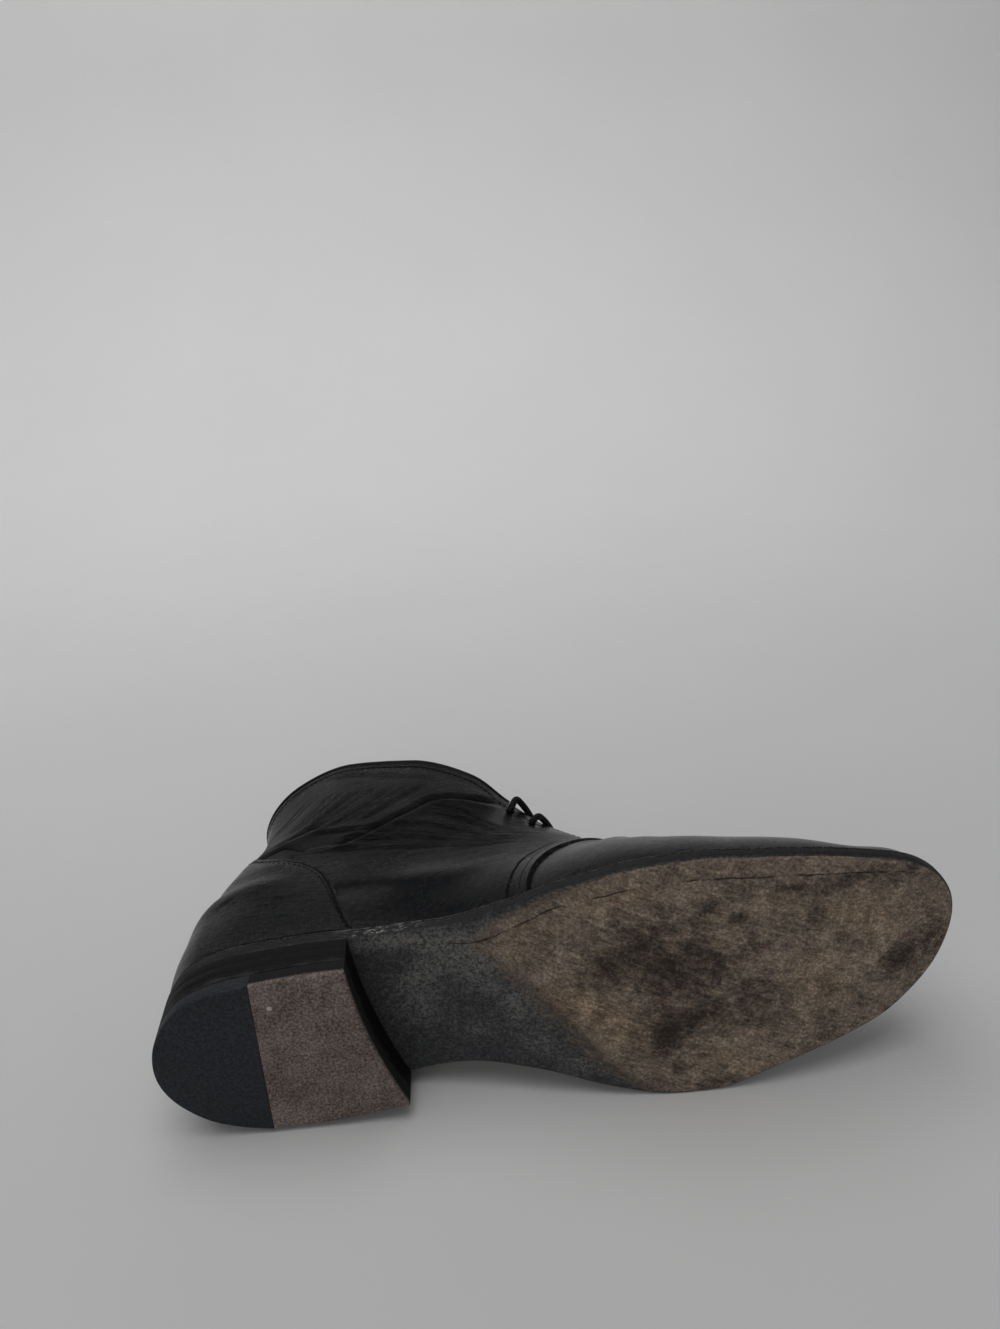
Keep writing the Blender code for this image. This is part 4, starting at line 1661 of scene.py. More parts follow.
@dataclass(frozen=True)
class Crease:
    """One soft trough or ridge in the upper, as a line of ribs and shares of their height.

    depth is how far the middle sinks and negative for a ridge. left and right are how far the
    leather stands up on either side, seen along the line from outside.
    """

    line: Places
    width: float
    depth: float
    left: float = 0.0
    right: float = 0.0
    fade: tuple[float, float] = (0.22, 0.22)

    # Where the leather stands up beside the middle, and how broadly, as shares of the width
    BESIDE = 2.0
    BROAD = 1.3
    # How far round the line points are measured, in widths and millimetres, and what stands for far
    ROOM = (5, 4)
    FAR = 1e3

    def reach(self, last: Last, side: Side, points: Array, normals: Array) -> tuple[Array, Array]:
        """Measures how far points are from the crease.

        Args:
            last: The last.
            side: The side of the boot.
            points: Points of the upper.
            normals: Vectors out of it.

        Returns:
            The distance of each point, with a sign for its side, and the crease's strength there.
        """
        ribs, shares = curve_through(np.array(self.line), 8).T
        chain = last.off(ribs, side, np.clip(shares, 0, 1), last.wall(ribs))
        room = self.ROOM[0] * self.width + self.ROOM[1]
        near = np.all((points > chain.min(axis=0) - room) & (points < chain.max(axis=0) + room), axis=1)
        signed = np.full(len(points), self.FAR)
        strength = np.zeros(len(points))
        away, along, offset = near_chain(points[near], chain)
        step = np.clip((along * (len(chain) - 1)).astype(int), 0, len(chain) - 2)
        forward = unit(np.diff(chain, axis=0))[step]
        lefts = np.einsum("ij,ij->i", np.cross(normals[near], forward), offset)
        signed[near] = np.where(lefts < 0, -away, away)
        start, end = self.fade
        strength[near] = ease(0, start, along) if start else 1.0
        strength[near] *= ease(0, end, 1 - along) if end else 1.0
        return signed, strength

    def relief(self, last: Last, side: Side, points: Array, normals: Array) -> Array:
        """Measures the crease on the upper.

        Args:
            last: The last.
            side: The side of the boot.
            points: Points of the upper.
            normals: Vectors out of it.

        Returns:
            How far each point moves outwards, in millimetres.
        """
        signed, strength = self.reach(last, side, points, normals)
        share = signed / self.width
        middle = bell(share, 0, 1)
        over = bell(share, self.BESIDE, self.BROAD)
        under = bell(share, -self.BESIDE, self.BROAD)
        return strength * (self.left * over + self.right * under - self.depth * middle)


def drawn_lines(
    last: Last, side: Side, creases: list[Crease], points: Array, normals: Array
) -> tuple[Array, Array]:
    """Keeps the nearest of many fine lines for every point, so that a finish can draw them crisply as grooves
    darkened with painted shade and some dirt.

    Args:
        last: The last.
        side: The side of the boot.
        creases: The lines.
        points: Points of the upper.
        normals: Vectors out of it.

    Returns:
        The signed distance from the nearest line, and how strongly that line is drawn.
    """
    widest = 4.0
    gap = np.full(len(points), widest)
    depth = np.zeros(len(points))
    for crease in creases:
        signed, strength = crease.reach(last, side, points, normals)
        closer = np.abs(signed) < np.abs(gap)
        gap[closer] = signed[closer]
        depth[closer] = strength[closer] * min(max(crease.depth, 0.0), 1.0)
    return gap, depth


def between(first: Places, second: Places, count: int) -> list[Places]:
    """Draws lines between two lines of as many places.

    Args:
        first: The first line.
        second: The second line.
        count: How many lines, the first one included and the second left out.

    Returns:
        The lines.
    """
    sway, turn = 0.07, 9
    one, two = np.array(first), np.array(second)
    steps = np.linspace(0, 1, count, endpoint=False)
    return [tuple(map(tuple, one + (two - one) * (t + sway * math.sin(turn * t)))) for t in steps]


@dataclass
class Upper:
    """Vamp and quarters as one hollow wall, with its creases, lining and eyelet holes."""

    shop: Workshop
    last: Last
    pitch: float = 1.55
    rows: int = 88
    eyelet_radius: float = 2.1
    eyelet_inset: float = 8.5
    ridge_start: float = 0.86
    ridge_ribs: tuple[float, float] = (6.4, 6.0)
    edge_rib: float = 7.0
    edge_sweep: float = 0.55
    sweep_ribs: tuple[float, float] = (5.4, 9.2)
    sweep_rows: tuple[float, float] = (0.03, 0.75)
    edge_press: float = 0.25
    press_ribs: float = 0.05
    join_row: float = 0.8
    join_rib: float = 7.4
    seam_rib: float = 15.4
    thinner: float = 0.3
    cutter_depth: float = 12.0

    # Columns close to the quarters' front edge, before and after its step, and the room they keep
    BEFORE_STEP = (-0.07, -0.045, -0.025, -0.01, 0.0)
    AFTER_STEP = (0.0, 0.008, 0.02, 0.04, 0.065)
    STEP_ROOM = (0.02, 0.03)
    # Deep folds at the ankle and the soft swell above the sole, on the lateral side
    FOLDS = (
        Crease(
            ((14.9, 0.60), (14.42, 0.575), (13.76, 0.555), (13.39, 0.565), (13.1, 0.60), (12.9, 0.66)),
            2.0, 1.5, 0.3, 1.1,
        ),
        Crease(
            ((14.7, 0.53), (13.76, 0.50), (13.39, 0.505), (13.06, 0.475), (12.75, 0.44)),
            1.7, 0.75, 0.2, 0.5,
        ),
        Crease(
            (
                (12.6, 0.47), (12.25, 0.49), (11.97, 0.54), (11.78, 0.62),
                (11.59, 0.70), (11.34, 0.80), (10.71, 0.865), (10.1, 0.955),
            ),
            1.7, 1.1, 0.35, 0.9, (0.2, 0.1),
        ),
        Crease(((13.0, 0.555), (12.48, 0.562), (12.01, 0.567), (11.82, 0.60)), 1.6, 0.7, 0.4, 0.4),
        Crease(((12.6, 0.20), (11.4, 0.20), (10.2, 0.205), (9.0, 0.235), (7.9, 0.27)), 7.5, -1.0),
        Crease(((13.5, 0.955), (12.8, 0.93), (12.0, 0.912), (11.4, 0.91)), 1.8, 0.3, 0.2, 0.1),
    )
    # Width, depth and the rise on either side of the creases that fan out and of those that slant
    FAN_FORM = (1.2, 0.4, 0.22, 0.16)
    SLANT_FORM = (1.2, 0.32, 0.2, 0.12)
    # Creases that fan out from the bend at the ankle to the quarters' front edge
    FANS = (
        ((13.2, 0.43), (12.3, 0.432), (11.25, 0.418), (10.0, 0.425), (8.6, 0.438), (7.38, 0.465)),
        ((12.5, 0.475), (11.7, 0.485), (10.86, 0.495), (9.8, 0.49), (8.6, 0.497), (7.35, 0.55)),
        ((11.9, 0.57), (11.3, 0.60), (10.59, 0.60), (9.6, 0.57), (8.6, 0.56), (7.4, 0.60)),
        ((11.6, 0.67), (10.9, 0.69), (10.2, 0.68), (9.3, 0.635), (8.4, 0.63), (7.5, 0.66)),
        ((11.46, 0.74), (10.9, 0.755), (10.3, 0.745), (9.6, 0.71), (8.9, 0.695), (8.2, 0.70)),
    )
    # Creases that slant over the back of the shaft
    SLANTS = (
        ((14.75, 0.78), (14.1, 0.77), (13.6, 0.87)),
        ((13.72, 0.60), (13.37, 0.70), (13.14, 0.86)),
        ((13.22, 0.57), (12.96, 0.71), (12.6, 0.87)),
        ((12.85, 0.56), (12.45, 0.71), (12.06, 0.88)),
        ((12.3, 0.60), (11.95, 0.74), (11.6, 0.89)),
    )
    # Creases across the vamp, where the foot bends
    FLEX = (
        Crease(((6.55, 0.22), (6.3, 0.5), (6.15, 0.78), (6.1, 1.0)), 3.0, 0.7, 0.4, 0.4, (0.35, 0.0)),
        Crease(((6.05, 0.26), (5.85, 0.55), (5.7, 0.8), (5.66, 1.0)), 3.2, 0.8, 0.4, 0.4, (0.35, 0.0)),
        Crease(((5.6, 0.32), (5.4, 0.6), (5.3, 0.82), (5.28, 1.0)), 3.0, 0.5, 0.3, 0.3, (0.35, 0.0)),
        Crease(((6.8, 0.3), (6.7, 0.55), (6.62, 0.8), (6.6, 1.0)), 2.2, 0.4, 0.25, 0.25, (0.35, 0.0)),
    )
    # Softer folds of the medial side
    MEDIAL_FOLDS = (
        Crease(((14.6, 0.58), (13.7, 0.545), (13.0, 0.57), (12.5, 0.63)), 2.4, 0.9, 0.2, 0.6),
        Crease(((12.7, 0.48), (12.0, 0.54), (11.5, 0.66), (11.0, 0.79), (10.3, 0.92)), 2.0, 0.65, 0.25, 0.5),
        Crease(((13.0, 0.44), (12.0, 0.43), (10.8, 0.425), (9.3, 0.44), (7.6, 0.47)), 1.7, 0.5, 0.25, 0.2),
        Crease(((12.4, 0.50), (11.2, 0.50), (9.8, 0.50), (8.4, 0.53), (7.6, 0.57)), 1.6, 0.42, 0.2, 0.2),
        Crease(((11.8, 0.60), (10.8, 0.60), (9.5, 0.58), (8.2, 0.62)), 1.6, 0.34, 0.2, 0.2),
    )
    # Where the leather flexes and wrinkles finely: a line, its reach in millimetres and its share
    FAN = (
        (((12.6, 0.50), (11.6, 0.55), (10.4, 0.54), (9.0, 0.51), (7.8, 0.5)), 15.0, 1.0),
        (((11.2, 0.72), (10.2, 0.72), (9.2, 0.68), (8.4, 0.68)), 13.0, 0.9),
        (((14.8, 0.53), (13.8, 0.50), (12.9, 0.47)), 7.0, 0.8),
        (((6.5, 0.6), (6.1, 0.75), (5.6, 0.85)), 14.0, 0.4),
    )
    CREPE = (
        (((14.9, 0.74), (13.9, 0.70), (13.0, 0.68), (12.2, 0.68)), 15.0, 1.0),
        (((14.4, 0.88), (13.2, 0.84), (12.2, 0.82), (11.4, 0.84)), 12.0, 0.7),
    )

    def columns(self) -> Array:
        """Ribs at which one side is drawn, close together at the quarters' front edge.

        Returns:
            The rib numbers, from the toe to the back.
        """
        start, end = self.last.step_ribs
        close = np.concatenate([start + np.array(self.BEFORE_STEP), end + np.array(self.AFTER_STEP)])
        ribs = self.last.even_ribs(0.0, self.last.back_rib, self.pitch)
        before, after = self.STEP_ROOM
        kept = ribs[(ribs < close[0] - before) | (ribs > close[-1] + after)]
        return np.sort(np.concatenate([kept, close]))

    def swept(self, rib: Array, v: Array) -> Array:
        """Leans the columns at the quarters' front edge forwards, up to the foot of the throat.

        Args:
            rib: Column of each point, as a rib number.
            v: How far up the rib.

        Returns:
            The rib on which each point lies.
        """
        ahead, behind = (ease(start, self.edge_rib, rib) for start in self.sweep_ribs)
        near = np.where(rib < self.edge_rib, ahead, behind)
        return rib - self.edge_sweep * ease(*self.sweep_rows, v) * near

    def creases(self, side: Side) -> list[Crease]:
        """Lists the creases of one side.

        Args:
            side: The side of the boot.

        Returns:
            The creases.
        """
        folds = self.FOLDS if side is Side.LATERAL else self.MEDIAL_FOLDS
        fans = [Crease(line, *self.FAN_FORM) for line in self.FANS]
        slants = [Crease(line, *self.SLANT_FORM) for line in self.SLANTS]
        return [*folds, *self.FLEX, *fans, *slants]

    def fine_lines(self, side: Side) -> list[Crease]:
        """Lists the fine lines of one side: creases, those between them, and sewn rows.

        Args:
            side: The side of the boot.

        Returns:
            The lines.
        """
        lines = [crease for crease in self.creases(side) if crease not in self.FLEX and crease.depth > 0]
        for family in (self.FANS, self.SLANTS):
            for number, (first, second) in enumerate(zip(family, family[1:])):
                depth = 0.4 + 0.1 * (number % 2)
                lines += [Crease(line, 1.0, depth) for line in between(first, second, 4)]
        rows = (Stitching.QUARTER, Stitching.FACING, Stitching.COLLAR)
        return [*lines, *(Crease(row, 1.0, 1.0, fade=(0, 0)) for row in rows)]

    def relief(self, side: Side, ribs: Array, points: Array, normals: Array) -> Array:
        """Adds up the creases of one side.

        Args:
            side: The side of the boot.
            ribs: Column of each point, as a rib number.
            points: Points of the smooth upper.
            normals: Vectors out of it.

        Returns:
            How far each point moves outwards.
        """
        moved = np.zeros(len(points))
        for crease in self.creases(side):
            moved += crease.relief(self.last, side, points, normals)
        start = self.last.step_ribs[0]
        pressed = bell(ribs, start, self.press_ribs) * (ribs < start + 0.001)
        return moved - self.edge_press * pressed

    def flexing(self, side: Side, lines: tuple, points: Array) -> Array:
        """Says how finely the leather wrinkles.

        Args:
            side: The side of the boot.
            lines: Lines that it wrinkles along, their reach and share.
            points: Points of the smooth upper.

        Returns:
            The share of each point.
        """
        wrinkle = np.zeros(len(points))
        for line, reach, share in lines:
            places = curve_through(np.array(line), 6)
            chain = self.last.off(places[:, 0], side, places[:, 1], self.last.wall(places[:, 0]))
            away, _, _ = near_chain(points, chain)
            wrinkle = np.maximum(wrinkle, share * bell(away, 0, reach))
        return wrinkle

    def build(self, leather: Material, lining: Material) -> None:
        """Builds and dresses the upper.

        Args:
            leather: Finish of the outside.
            lining: Finish of the inside.
        """
        ribs = self.columns()
        heights = np.linspace(0, 1, self.rows)
        points, parts = [], []
        for side in Side:
            own = ribs[::-1] if side is Side.LATERAL else ribs[1:]
            column, v = np.meshgrid(own, heights)
            rib = self.swept(column, v)
            plain = self.last.off(rib, side, v, self.last.wall(column))
            normals = self.last.normal(rib, side, v)
            flat = plain.reshape(-1, 3)
            moved = self.relief(side, column.ravel(), flat, normals.reshape(-1, 3))
            points.append(plain + moved.reshape(rib.shape)[..., None] * normals)
            middle = plain[self.rows // 2]
            # Fine lines that the leather finish darkens with painted shade and some dirt
            gap, depth = drawn_lines(self.last, side, self.fine_lines(side), flat, normals.reshape(-1, 3))
            parts.append({
                "wrinkle": self.flexing(side, self.FAN, flat).reshape(rib.shape),
                "crepe": self.flexing(side, self.CREPE, flat).reshape(rib.shape),
                "fold_gap": gap.reshape(rib.shape),
                "fold_depth": depth.reshape(rib.shape),
                "run": np.broadcast_to(run_along(middle), rib.shape),
                "rise": climb(plain),
                "ridge": ease(self.ridge_start, 1, v) * ease(*self.ridge_ribs, rib),
                "wall": self.last.wall(column) / self.last.quarter_wall,
            })
        kept = side_by_side(parts)
        made = self.shop.sheet("boot_upper", self.joined(ribs, heights, *points), kept)
        for name in ("ridge", "wall"):
            self.weigh(made, name)
        self.shop.modify(made, "SMOOTH", factor=0.5, iterations=30, vertex_group="ridge")
        self.shop.modify(
            made, "SOLIDIFY", thickness=(self.last.quarter_wall - self.thinner) * MM, offset=-1,
            vertex_group="wall", material_offset=1, material_offset_rim=0,
        )
        self.shop.dress(made, leather, lining)
        self.punch(made)
        self.shop.shade(made, 45)
        self.shop.hand_over(made, "upper_leather", "upper")

    def joined(self, ribs: Array, heights: Array, lateral: Array, medial: Array) -> Array:
        """Brings both sides together along the vamp's ridge and the back seam.

        Args:
            ribs: Columns of one side, from the toe to the back.
            heights: Rows, from the sole to the top line.
            lateral: Points of the lateral side, from the back to the toe.
            medial: Points of the medial side, from the toe's next column to the back.

        Returns:
            The points of both sides in one grid.
        """
        first, second = lateral[:, ::-1].copy(), np.concatenate([lateral[:, -1:], medial], axis=1)
        top_rib = self.swept(ribs, np.ones_like(ribs))
        along = ease(self.join_rib, self.edge_rib, top_rib)
        ridge = ease(self.join_row, 1, heights)[:, None, None] * along[None, :, None]
        seam = ease(self.seam_rib, self.last.back_rib, ribs)[None, :, None]
        for share, pick in ((ridge, np.s_[-1:, :]), (seam, np.s_[:, -1:])):
            apart = (second[pick] - first[pick]) / 2
            first += share * apart
            second -= share * apart
        return np.concatenate([first[:, ::-1], second[:, 1:]], axis=1)

    @staticmethod
    def weigh(made: Object, name: str) -> None:
        """Turns a kept number into a vertex group.

        Args:
            made: The object.
            name: The number's name, and the group's.
        """
        values = np.empty(len(made.data.vertices), dtype=np.float32)
        made.data.attributes[name].data.foreach_get("value", values)
        made.data.attributes.remove(made.data.attributes[name])
        group = made.vertex_groups.new(name=name)
        for index, value in enumerate(values):
            group.add([index], float(value), "REPLACE")

    def punch(self, made: Object) -> None:
        """Cuts the eyelet holes through both quarters.

        Args:
            made: The upper.
        """
        cutters = []
        for rib in LACE_ROWS["rib"]:
            for side in Side:
                at = np.array(rib)
                v = self.last.down_from_top(at, side, self.eyelet_inset)
                centre = self.shop.frame.place(self.last.off(at, side, v, self.last.quarter_wall / 2))
                way = Vector(self.shop.frame.aim(self.last.normal(at, side, v)))
                self.shop.deselect()
                bpy.ops.mesh.primitive_cylinder_add(
                    vertices=24, radius=self.eyelet_radius * MM, depth=self.cutter_depth * MM,
                    location=Vector(centre), rotation=way.to_track_quat("Z", "Y").to_euler(),
                )
                cutters.append(bpy.context.object)
        self.shop.deselect()
        for cutter in cutters:
            cutter.select_set(True)
        bpy.context.view_layer.objects.active = cutters[0]
        bpy.ops.object.join()
        cutter = bpy.context.object
        self.shop.modify(made, "BOOLEAN", operation="DIFFERENCE", object=cutter, solver="EXACT")
        bpy.data.objects.remove(cutter)


@dataclass
class Counter:
    """Outside counter: a second layer of leather round the back, thinned at its edge."""

    shop: Workshop
    last: Last
    pitch: float = 1.5
    rows: int = 60
    gap: float = 0.25
    thickness: float = 1.5
    edge_thickness: float = 0.85
    thinned: float = 6.0
    sewn: float = 1.7
    foot: float = 0.006
    shell: float = 0.45
    wrinkled: float = 0.1
    dented_from: tuple[float, float] = (0.5, 4.0)

    # Ridge of the lateral side, over the stiffener's edge
    RIDGE = Crease(((15.8, 0.24), (14.6, 0.255), (13.8, 0.26), (13.1, 0.26), (12.5, 0.25)), 5.5, -1.3)
    # Shallow dents of both sides
    DENTS = (
        Crease(((15.2, 0.36), (14.2, 0.33), (13.4, 0.325), (12.8, 0.31)), 4.0, 0.3, 0.1, 0.0),
        Crease(((14.15, 0.20), (13.85, 0.219), (13.62, 0.235)), 0.9, 0.3, 0.1, 0.1),
    )

    def edge_line(self, side: Side, ribs: Array) -> Array:
        """Top edge of the counter on one side."""
        heights = smooth(COUNTER_EDGE["rib"], COUNTER_EDGE["height"], ribs)
        return self.last.height_on_rib(ribs, side, heights)

    def from_edge(self, side: Side, base: Array) -> Array:
        """Measures how far points under the counter are from its top edge.

        Args:
            side: The side of the boot.
            base: The points.

        Returns:
            The distances.
        """
        ribs = self.last.even_ribs(COUNTER_EDGE["rib"][0], self.last.back_rib, self.pitch)
        edge = self.last.off(ribs, side, self.edge_line(side, ribs), self.last.quarter_wall)
        return near_chain(base, edge)[0]

    def height(self, side: Side, base: Array, normals: Array) -> Array:
        """Measures how far the counter stands off the quarters.

        Args:
            side: The side of the boot.
            base: Points of the quarters' outside.
            normals: Vectors out of it.

        Returns:
            The height of its outside at each point.
        """
        away = self.from_edge(side, base)
        thick = self.edge_thickness + (self.thickness - self.edge_thickness) * ease(0, self.thinned, away)
        dents = (self.RIDGE, *self.DENTS) if side is Side.LATERAL else self.DENTS
        dented = sum(dent.relief(self.last, side, base, normals) for dent in dents)
        return self.gap + thick + dented * ease(*self.dented_from, away)

    def build(self, leather: Material) -> None:
        """Builds and dresses the counter.

        Args:
            leather: Its finish.
        """
        front = COUNTER_EDGE["rib"][0]
        ribs = self.last.even_ribs(front, self.last.back_rib, self.pitch)
        share = np.linspace(0, 1, self.rows)
        points, parts = [], []
        for side in Side:
            own = ribs[::-1] if side is Side.MEDIAL else ribs[:-1]
            top = self.edge_line(side, own)
            rib, t = np.meshgrid(own, share)
            v = self.foot + (top[None] - self.foot) * t
            base = self.last.off(rib, side, v, self.last.quarter_wall)
            normals = self.last.normal(rib, side, v)
            away = self.from_edge(side, base.reshape(-1, 3)).reshape(rib.shape)
            height = self.height(side, base.reshape(-1, 3), normals.reshape(-1, 3))
            points.append(base + height.reshape(rib.shape)[..., None] * normals)
            parts.append({
                "wrinkle": np.full_like(rib, self.wrinkled),
                "crepe": np.full_like(rib, self.wrinkled),
                # A fine line along the sewn row, darkened in the finish with painted shade and some dirt
                "fold_gap": away - self.sewn,
                "fold_depth": np.ones_like(rib),
                "run": np.linalg.norm(base - base[:, :1], axis=2),
                "rise": climb(base),
            })
        kept = {name: values[:, ::-1] for name, values in side_by_side(parts).items()}
        grid = np.concatenate(points, axis=1)[:, ::-1]
        made = self.shop.sheet("counter_patch", grid, kept)
        self.shop.modify(made, "SOLIDIFY", thickness=self.shell * MM, offset=-1)
        self.shop.dress(made, leather)
        self.shop.shade(made, 50)
        self.shop.hand_over(made, "upper_leather", "heel_counter")


@dataclass
class Collar:
    """Rolled binding on the collar's edge."""

    shop: Workshop
    last: Last
    radius: float = 1.7
    steps: int = 150

    def path(self) -> Array:
        """Middle of the roll, from one front corner round the back to the other.

        Returns:
            The points.
        """
        ribs = np.linspace(self.last.collar_rib, self.last.back_rib, self.steps)
        halves = []
        for side in Side:
            corners = self.last.corners(ribs, side)
            up = unit(corners[3] - corners[2])
            half = self.last.off(ribs, side, np.ones_like(ribs), self.last.quarter_wall / 2)
            halves.append(half + up * (self.radius + self.last.gap))
        return np.concatenate([halves[0], halves[1][-2::-1]])

    def build(self, leather: Material) -> None:
        """Builds and dresses the binding.

        Args:
            leather: Its finish.
        """
        made = self.shop.round_tube("collar_roll", self.path(), self.radius, 16)
        self.shop.shade(made)
        self.shop.dress(made, leather)
        self.shop.hand_over(made, "upper_leather", "collar_binding")


@dataclass
class Tongue:
    """Tongue under the throat, with its wings inside the quarters."""

    shop: Workshop
    last: Last
    thickness: float = 1.8
    gap: float = 0.45
    wing: float = 13.0
    ribs: tuple[float, float] = (6.4, 10.2)
    rows: int = 70
    columns: int = 40
    half_columns: int = 12
    wave: float = 0.25
    wave_angle: float = 9.0
    rounding: float = 0.5

    def build(self, leather: Material) -> None:
        """Builds and dresses the tongue.

        Args:
            leather: Its finish.
        """
        grid = []
        for rib in np.linspace(*self.ribs, self.rows):
            chain = []
            for side in Side:
                at = np.array(rib)
                v = np.linspace(float(self.last.down_from_top(at, side, self.wing)), 1, self.half_columns)
                half = self.last.off(np.full_like(v, rib), side, v, -self.gap)
                chain += list(half if side is Side.LATERAL else half[::-1])
            chain = np.array(chain)
            lengths = run_along(chain)
            grid.append(points_at(np.linspace(0, lengths[-1], self.columns), lengths, chain))
        points = np.array(grid)
        across = np.linspace(-1, 1, self.columns)[None]
        along = np.linspace(0, 1, self.rows)[:, None]
        points[..., 2] -= self.wave * np.sin(along * self.wave_angle) * (1 - across**2)
        made = self.shop.sheet("throat_tongue", points)
        facing = np.array(made.data.polygons[len(made.data.polygons) // 2].normal)
        if facing @ self.shop.frame.aim(np.array([0.5, 0, 1.0])) < 0:
            made.data.flip_normals()
        self.shop.modify(made, "SOLIDIFY", thickness=self.thickness * MM, offset=-1)
        self.shop.modify(
            made, "BEVEL", width=self.rounding * MM, segments=2, limit_method="ANGLE",
            angle_limit=math.radians(50),
        )
        self.shop.dress(made, leather)
        self.shop.shade(made, 50)
        self.shop.hand_over(made, "tongue_leather", "tongue")


@dataclass
class Laces:
    """The lace where it shows: two bars over the throat, run through their eyelets."""

    shop: Workshop
    last: Last
    radius: float = 1.5
    inset: float = 8.5
    shoulder: float = 0.7

    def route(self, rib: float, arch: float) -> Array:
        """Draws one bar from eyelet to eyelet.

        Args:
            rib: Its row of eyelets.
            arch: How far it stands over the throat.

        Returns:
            The points of its middle line.
        """
        at = np.array(rib)
        wall = self.last.quarter_wall
        halves = []
        for side in Side:
            eyelet = self.last.down_from_top(at, side, self.inset)
            near_edge = self.last.down_from_top(at, side, self.inset / 3)
            halves.append([
                self.last.off(at, side, eyelet, self.radius),
                self.last.off(at, side, eyelet, wall),
                self.last.off(at, side, eyelet, wall + self.radius + self.last.gap),
                self.last.off(at, side, near_edge, wall + self.radius + self.shoulder * arch),
            ])
        tops = [self.last.point(at, side, np.array(1.0)) for side in Side]
        outwards = sum(self.last.normal(at, side, np.array(1.0)) for side in Side)
        lift = wall + self.radius + arch
        crown = (tops[0] + tops[1]) / 2 + lift * unit(outwards)
        return curve_through(np.array([*halves[0], crown, *reversed(halves[1])]), 14)

    def build(self, cord: Material) -> None:
        """Builds and dresses the lace bars.

        Args:
            cord: Their finish.
        """
        for name, rib, arch in zip(("lower", "upper"), LACE_ROWS["rib"], LACE_ROWS["arch"]):
            made = self.shop.round_tube(f"lace_cord_{name}", self.route(rib, arch), self.radius, 20)
            self.shop.shade(made)
            self.shop.dress(made, cord)
            self.shop.hand_over(made, "lace_cord", f"lace_bar_{name}")


@dataclass
class Stitching:
    """Rows of thread on the upper."""

    shop: Workshop
    upper: Upper
    counter: Counter
    pitch: float = 2.7
    sunk: float = 0.04
    size: Triple = (0.95, 0.32, 0.26)
    fine_step: float = 0.01
    ahead: float = 0.5
    counter_drop: float = 1.9
    counter_shift: float = 0.085
    counter_foot: float = 0.01

    # Rows on the upper, as ribs and shares of their height
    QUARTER = (
        (7.42, 0.02), (7.33, 0.15), (7.22, 0.26), (7.05, 0.36),
        (6.95, 0.55), (6.88, 0.72), (6.95, 0.86), (7.2, 0.93),
    )
    FACING = ((7.2, 0.93), (7.7, 0.935), (8.2, 0.935), (9.0, 0.94), (9.8, 0.945), (10.3, 0.955))
    COLLAR = (
        (10.3, 0.955), (10.8, 0.97), (12.0, 0.978), (13.0, 0.98), (14.0, 0.98), (15.0, 0.98), (16.0, 0.98),
    )

    def row(self, line: Places, side: Side, on_counter: bool) -> tuple[Array, Array, Array]:
        """Spaces stitches along a line.

        Args:
            line: Ribs and shares of their height.
            side: The side of the boot.
            on_counter: Whether they lie on the counter, and not on the quarters.

        Returns:
            Centres, directions along and directions out.
        """
        last = self.upper.last
        spots = even_points(curve_through(np.array(line), 12), self.fine_step)
        chain = last.off(spots[:, 0], side, spots[:, 1], np.full(len(spots), last.quarter_wall))
        normals = last.normal(spots[:, 0], side, spots[:, 1])
        if on_counter:
            height = self.counter.height(side, chain, normals)
        else:
            height = self.upper.relief(side, np.full(len(spots), last.back_rib), chain, normals)
        chain = chain + (height - self.sunk)[:, None] * normals
        lengths = run_along(chain)
        wanted = np.arange(self.pitch / 2, lengths[-1], self.pitch)
        rib, v = points_at(wanted, lengths, spots).T
        centres = points_at(wanted, lengths, chain)
        ahead = points_at(wanted + self.ahead, lengths, chain)
        return centres, unit(ahead - centres + 1e-9), last.normal(rib, side, v)

    def build(self, thread: Material) -> None:
        """Builds and dresses the rows.

        Args:
            thread: Their finish.
        """
        last = self.upper.last
        rib, height = COUNTER_EDGE["rib"], COUNTER_EDGE["height"]
        for name, line in (
            ("quarter_stitching", self.QUARTER),
            ("facing_stitching", self.FACING),
            ("collar_stitching", self.COLLAR),
            ("counter_stitching", None),
        ):
            rows = []
            for side in Side:
                places = line
                if places is None:
                    share = last.height_on_rib(rib, side, height - self.counter_drop)
                    share = np.maximum(share, self.counter_foot)
                    places = tuple(zip(np.minimum(rib + self.counter_shift, last.back_rib), share))
                rows.append(self.row(places, side, line is None))
            centres, along, up = (np.concatenate(parts) for parts in zip(*rows))
            made = self.shop.studs(name, centres, along, up, self.size)
            self.shop.dress(made, thread)
            self.shop.hand_over(made, "lace_cord")


@dataclass(frozen=True)
class Lamp:
    """One soft rectangular lamp, in metres and watts, with its beam's angle in degrees."""

    name: str
    place: Triple
    aim: Triple
    size: tuple[float, float]
    power: float
    colour: Triple
    spread: float = 180.0

    def hang(self) -> None:
        """Hangs the lamp and points it at its aim."""
        light = bpy.data.lights.new(self.name, "AREA")
        light.shape = "RECTANGLE"
        light.size, light.size_y = self.size
        light.spread = math.radians(self.spread)
        light.energy = self.power
        light.color = self.colour
        hung = bpy.data.objects.new(self.name, light)
        bpy.context.scene.collection.objects.link(hung)
        hung.visible_camera = False
        hung.location = self.place
        hung.rotation_euler = (Vector(self.aim) - Vector(self.place)).to_track_quat("-Z", "Y").to_euler()


